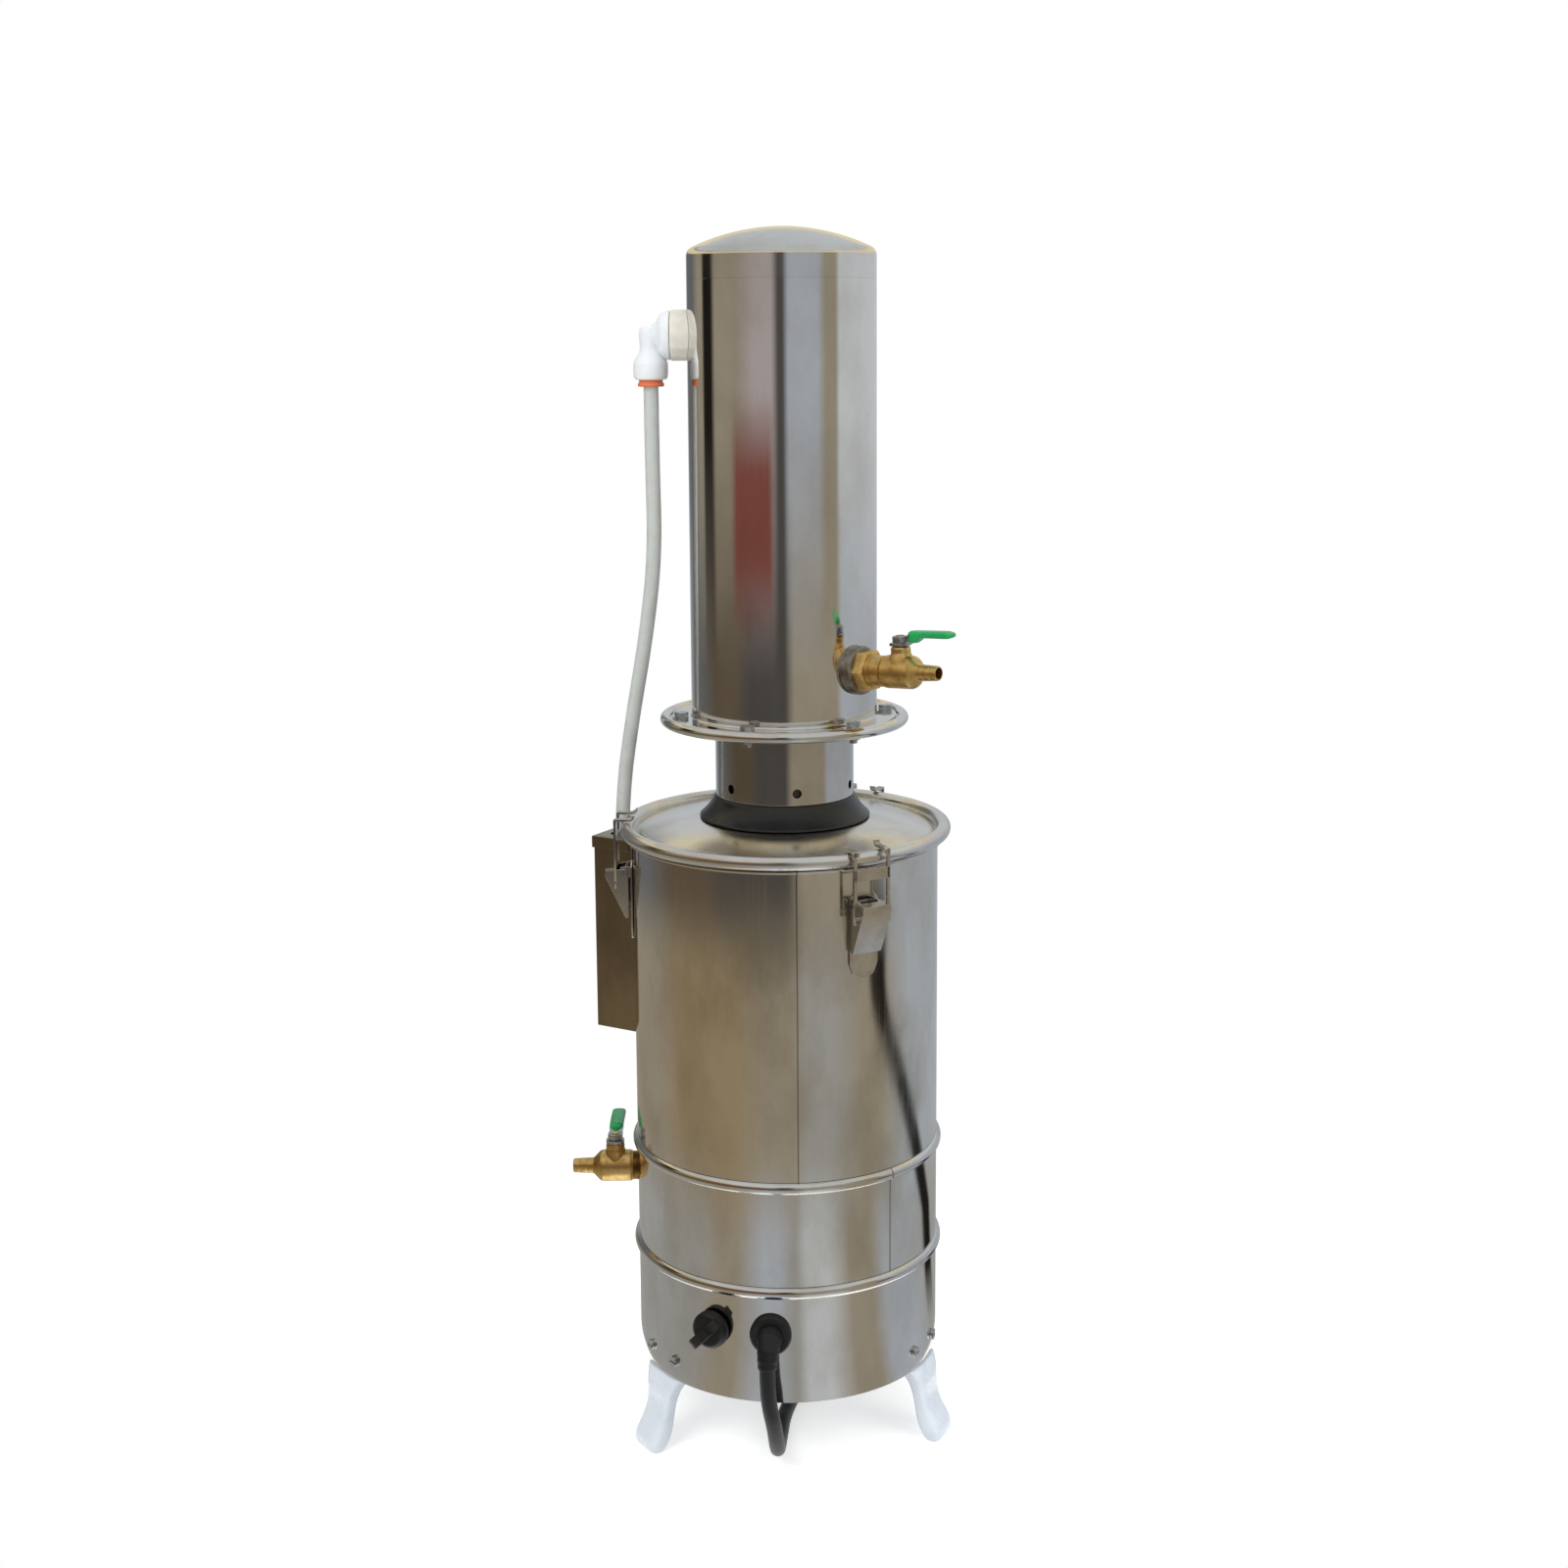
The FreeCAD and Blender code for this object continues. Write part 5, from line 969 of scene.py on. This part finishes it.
def room_material():
    """The room as a mirror sees it: upright light and dark fields on its floor and walls."""
    material, tree = new_material("reflector_cards")
    place = add(tree, "TexCoord")
    axes = add(tree, "SeparateXYZ", {0: place.outputs["Object"]})
    ahead = add(tree, "Math", {0: axes.outputs["Y"], 1: -1.0}, operation="MULTIPLY")
    angle = add(tree, "Math", {0: axes.outputs["X"], 1: ahead.outputs[0]},
                operation="ARCTAN2")
    degrees = add(tree, "Math", {0: angle.outputs[0], 1: 180 / math.pi},
                  operation="MULTIPLY")
    turn = add(tree, "MapRange", {"Value": degrees.outputs[0], "From Min": -180.0,
                                  "From Max": 180.0})
    flat = add(tree, "CombineXYZ", {0: axes.outputs["X"], 1: axes.outputs["Y"]})
    radius = add(tree, "VectorMath", {0: flat.outputs[0]}, operation="LENGTH")
    # the way out along the floor and then up the wall, in metres
    way = add(tree, "Math", {0: radius.outputs["Value"], 1: axes.outputs["Z"]})
    colour = linear(TONES["grey"])
    for start, blend, fields in LEVELS:
        tones = add(tree, "ValToRGB", {"Fac": turn.outputs[0]},
                    stops=[((edge + 180) / 360, linear(TONES[tone]))
                           for left, right, tone in fields for edge in (left, right)])
        reached = add(tree, "MapRange", {"Value": way.outputs[0],
                                         "From Min": start - blend / 2,
                                         "From Max": start + blend / 2})
        colour = mixed(add(tree, "Mix", {"Factor": reached.outputs[0], "A": colour,
                                         "B": tones.outputs[0]}, data_type="RGBA"))

    def near(value, centre, inner, outer):
        """1 within inner of the centre, falling to 0 at outer."""
        off = add(tree, "Math", {0: value.outputs[0], 1: centre}, operation="SUBTRACT")
        away = add(tree, "Math", {0: off.outputs[0]}, operation="ABSOLUTE")
        return add(tree, "MapRange", {"Value": away.outputs[0], "From Min": inner,
                                      "From Max": outer, "To Min": 1.0, "To Max": 0.0})

    # a dark hanging edge on the right that comes nearer along the floor
    edge = add(tree, "MapRange", {"Value": way.outputs[0], "From Min": 0.42, "From Max": 1.04,
                                  "To Min": 121.0, "To Max": 69.0})
    patches = [
        ("black", near(degrees, edge.outputs[0], 5.0, 9.0), near(way, 0.7, 0.40, 0.50)),
        # something red-brown, the width of a door, at the height of the jacket's middle
        ("rust", near(degrees, -36.0, 20.0, 28.0), near(way, 1.53, 0.05, 0.13)),
    ]
    for tone, across, along in patches:
        mask = add(tree, "Math", {0: across.outputs[0], 1: along.outputs[0]},
                   operation="MULTIPLY")
        colour = mixed(add(tree, "Mix", {"Factor": mask.outputs[0], "A": colour,
                                         "B": linear(TONES[tone])}, data_type="RGBA"))
    # a cream ledge under the ceiling, and the ceiling
    ledge = near(way, 2.04, 0.10, 0.16)
    ceiling = add(tree, "MapRange", {"Value": axes.outputs["Z"], "From Min": 1.18,
                                     "From Max": 1.26})
    for tone, mask in (("cream", ledge), ("pale", ceiling)):
        colour = mixed(add(tree, "Mix", {"Factor": mask.outputs[0], "A": colour,
                                         "B": linear(TONES[tone])}, data_type="RGBA"))
    finish_material(tree, add(tree, "Emission", {"Color": colour, "Strength": 1.3}))
    return material


def background_rays(tree):
    """1 for the rays that should see a plain white background, and 0 for the others."""
    path = add(tree, "LightPath")
    seen = path.outputs["Is Camera Ray"]
    for ray in ("Is Glossy Ray", "Is Transmission Ray"):
        seen = add(tree, "Math", {0: seen, 1: path.outputs[ray]}, operation="MAXIMUM").outputs[0]
    return seen


def make_floor():
    """White paper that shows a soft shadow and turns as white as the backdrop further out."""
    material, tree = new_material("paper_floor")
    seen = background_rays(tree)
    paper = add(tree, "BsdfDiffuse", {"Color": linear("#f4f4f4")})
    white = add(tree, "Emission", {"Color": WHITE, "Strength": 0.55})
    both = add(tree, "AddShader", {0: paper.outputs[0], 1: white.outputs[0]})
    # half a metre from the object the paper has turned as white as the backdrop
    place = add(tree, "TexCoord")
    away = add(tree, "VectorMath", {0: place.outputs["Object"]}, operation="LENGTH")
    fade = add(tree, "MapRange", {"Value": away.outputs["Value"], "From Min": 0.25,
                                  "From Max": 0.5})
    backdrop = add(tree, "Emission", {"Color": WHITE, "Strength": 1.0})
    shown = add(tree, "MixShader", {0: fade.outputs[0], 1: both.outputs[0],
                                    2: backdrop.outputs[0]})
    finish_material(tree, add(tree, "MixShader", {0: seen, 1: paper.outputs[0],
                                                  2: shown.outputs[0]}))
    reach, drop = 30000.0, -0.2
    corners = [(-reach, -reach, drop), (reach, -reach, drop), (reach, reach, drop),
               (-reach, reach, drop)]
    floor = new_object("floor", (corners, [[0, 1, 2, 3]]))
    floor.data.materials.append(material)


def make_reflector():
    """A round floor, wall and ceiling a metre out that only mirrors see."""
    segments = 120
    outline = np.array([(170, 1), (500, 1), (980, 1), (1000, 20), (1000, 1500), (800, 1750),
                        (400, 1850), (1, 1870)], float)
    angle = np.arange(segments) * 2 * math.pi / segments
    x = outline[:, :1] * np.cos(angle)
    y = outline[:, :1] * np.sin(angle)
    points = np.stack([x, y, np.broadcast_to(outline[:, 1:], x.shape)], axis=-1)
    reflector = new_object("reflector", (points.reshape(-1, 3), loop_faces(
        len(outline), segments, close_rows=False)))
    reflector.data.materials.append(room_material())
    for ray in ("camera", "diffuse", "transmission", "volume_scatter", "shadow"):
        setattr(reflector, "visible_" + ray, False)


def make_light():
    """A pale world that is white to the background's rays, and three soft lamps."""
    world = bpy.data.worlds.new("studio_air")
    bpy.context.scene.world = world
    world.use_nodes = True
    tree = world.node_tree
    tree.nodes.clear()
    level = add(tree, "MapRange", {"Value": background_rays(tree), "To Min": 0.45,
                                   "To Max": 1.0})
    sky = add(tree, "Background", {"Color": WHITE, "Strength": level.outputs[0]})
    add(tree, "OutputWorld", {"Surface": sky.outputs[0]})
    # the lamps face the middle of the object
    middle = Vector((0.0, 0.0, 0.4))
    for name, spot, size, power in (("key_softbox", (-1.1, -1.6, 1.9), 1.2, 26.0),
                                    ("fill_softbox", (1.5, -1.2, 1.3), 1.2, 14.0),
                                    ("top_softbox", (0.1, 0.5, 2.3), 1.6, 16.0)):
        data = bpy.data.lights.new(name, "AREA")
        data.shape = "SQUARE"
        data.size = size
        data.energy = power
        lamp = bpy.data.objects.new(name, data)
        lamp.location = spot
        lamp.rotation_euler = (middle - Vector(spot)).to_track_quat("-Z", "Y").to_euler()
        lamp.visible_glossy = False
        bpy.context.scene.collection.objects.link(lamp)
    bpy.context.scene.view_settings.view_transform = "Standard"


def make_finishes():
    """Every finish on the object, named for its real material, and for the painted shade that two
    of them carry.

    The numbers after the two tones are roughness and its spread, then for metal and plastic
    the size of the patches or the grain in millimetres and the strength of the bump.
    """
    return {
        # buffed, spun or pressed stainless sheet: bright, with dull clouds and a weld's line
        "skirt": steel("buffed_stainless_skirt", "#e8e6e2", "#d2cdc4", 0.07, 0.10),
        "band": steel("buffed_stainless_band", "#e8e6e1", "#cfc9be", 0.08, 0.10, seam=41.0),
        "pot": steel("buffed_stainless_pot", "#e6e3dc", "#cbc3b5", 0.09, 0.14, seam=4.0),
        "lid": steel("spun_stainless_lid", "#e8e6e2", "#d2cdc4", 0.20, 0.08),
        # a neck painted dark brown-grey as the shade inside the collar's vents, and half dull
        "scaled_neck": metal("neck_painted_vent_shade", "#6d665e", "#4a443d", 0.38, 0.2, 12.0, 0.2),
        "collar": steel("stainless_collar", "#dedbd5", "#c2bcb2", 0.10, 0.10, seam=-150.0),
        "flange": steel("pressed_stainless_flange", "#e9e8e5", "#d0ccc5", 0.08, 0.08),
        "jacket": steel("stainless_jacket", "#e8e6e2", "#d4cfc7", 0.06, 0.08, seam=120.0),
        "cap": steel("spun_stainless_cap", "#e6e4e0", "#d2cec7", 0.09, 0.08),
        # stamped, satin and drawn stainless: from bright to a blurred, browner mirror
        "latch": metal("stamped_stainless", "#dddad4", "#c4bfb6", 0.12, 0.10, 16.0, 0.05),
        "box": steel("satin_stainless_box", "#a59a8a", "#877b6b", 0.26, 0.14),
        "tube": metal("drawn_stainless_tube", "#c9c8c5", "#a9a6a0", 0.20, 0.15, 12.0, 0.10),
        # zinc plate, forged brass, brass painted dark brown as the shade at the drain's wall nut,
        # and nickel: grainy, half dull, and warm or cool
        "zinc": metal("bright_zinc_plate", "#c9cbce", "#9b9da0", 0.24, 0.18, 5.0, 0.2),
        "brass": metal("forged_brass", "#efcb85", "#c99f58", 0.30, 0.16, 7.0, 0.25),
        "washer": metal("brass_nut_painted_shade", "#8a6631", "#4c3c26", 0.32, 0.2, 5.0, 0.4),
        "grey_washer": metal("nickelled_washer", "#a9a49a", "#7c756a", 0.3, 0.2, 6.0, 0.3),
        # a dipped PVC sleeve: even green with a soft gloss
        "green": plastic("dipped_pvc_green", "#12a156", "#0c8a49", 0.28, 1.2, 0.12, coat=0.3),
        # moulded acetal: light sinks in a little, so that its edges glow
        "white": plastic("acetal_white", "#edf1f4", "#e2e6e8", 0.30, 0.8, 0.10, soft=0.15),
        "nut": plastic("acetal_ivory", "#ebe8dd", "#dcd7c8", 0.32, 0.8, 0.12, soft=0.15),
        "collet": plastic("acetal_orange", "#e37b50", "#cf6a42", 0.35, 0.8, 0.1, soft=0.1),
        # a milky tube that lets some light through
        "hose": plastic("milky_polyethylene", "#dfe3e0", "#cfd4cf", 0.26, 2.0, 0.08,
                        soft=0.3, clear=0.35),
        # enamel over a moulding: cool white under a glossy coat
        "foot": plastic("enamelled_moulding", "#e6eef7", "#d6e0ec", 0.22, 1.0, 0.08,
                        coat=0.35),
        # black phenolic, nylon, PVC and silicone, from satin to slightly glossy
        "knob": plastic("phenolic_knob", "#0c0d0e", "#151617", 0.34, 0.6, 0.12),
        "black": plastic("moulded_black_nylon", "#0f1011", "#1a1b1c", 0.40, 0.7, 0.20),
        "cable": plastic("pvc_cable_sheath", "#101113", "#1b1c1e", 0.42, 0.9, 0.20),
        "phenolic": plastic("brown_phenolic", "#2a2320", "#3a312c", 0.4, 0.8, 0.2),
        "silicone": plastic("black_silicone", "#141414", "#1f1f1f", 0.24, 0.9, 0.06),
        # inside pieces: spangled zinc, an annealed brown sheath, and a bright chromed ball
        "galvanised": metal("galvanised_sheet", "#a9adb0", "#8b8f93", 0.4, 0.15, 14.0, 0.2),
        "element": metal("annealed_sheath", "#7d766e", "#544c44", 0.42, 0.2, 10.0, 0.3),
        "ball": metal("chromed_ball", "#d8dadd", "#c0c2c6", 0.10, 0.1, 8.0, 0.05),
    }


def dress_nodes(finish):
    """CAD nodes that keep their own shape get the finish of their real material."""
    kept = {
        "zinc": ["foot_screws", "switch_spindle", "latch_pins", "flange_bolts"],
        "phenolic": ["switch_body", "terminal_block", "thermal_cutout"],
        "galvanised": ["base_cover"],
        "brass": ["plug_pins", "element_nuts", "inlet_valve_stem", "drain_valve_stem",
                  "inlet_valve_wall_nut", "drain_valve_wall_nut", "distillate_spout"],
        "ball": ["inlet_valve_ball", "drain_valve_ball"],
        "element": ["heating_element"],
        "silicone": ["flange_gasket"],
        "tube": ["steam_riser", "condenser_coil"],
        "pot": ["vessel_floor"],
    }
    finish_of = {name: key for key, names in kept.items() for name in names}
    for name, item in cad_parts.items():
        for slot in item.material_slots:
            slot.material = finish[finish_of.get(name, "latch")]


make_camera()
finishes = make_finishes()
for make in (make_cords, make_boiler, make_lid, make_condenser, make_valves, make_elbow,
             make_feet, make_controls, make_feed_box, make_latches, dress_nodes):
    make(finishes)
make_floor()
make_reflector()
make_light()
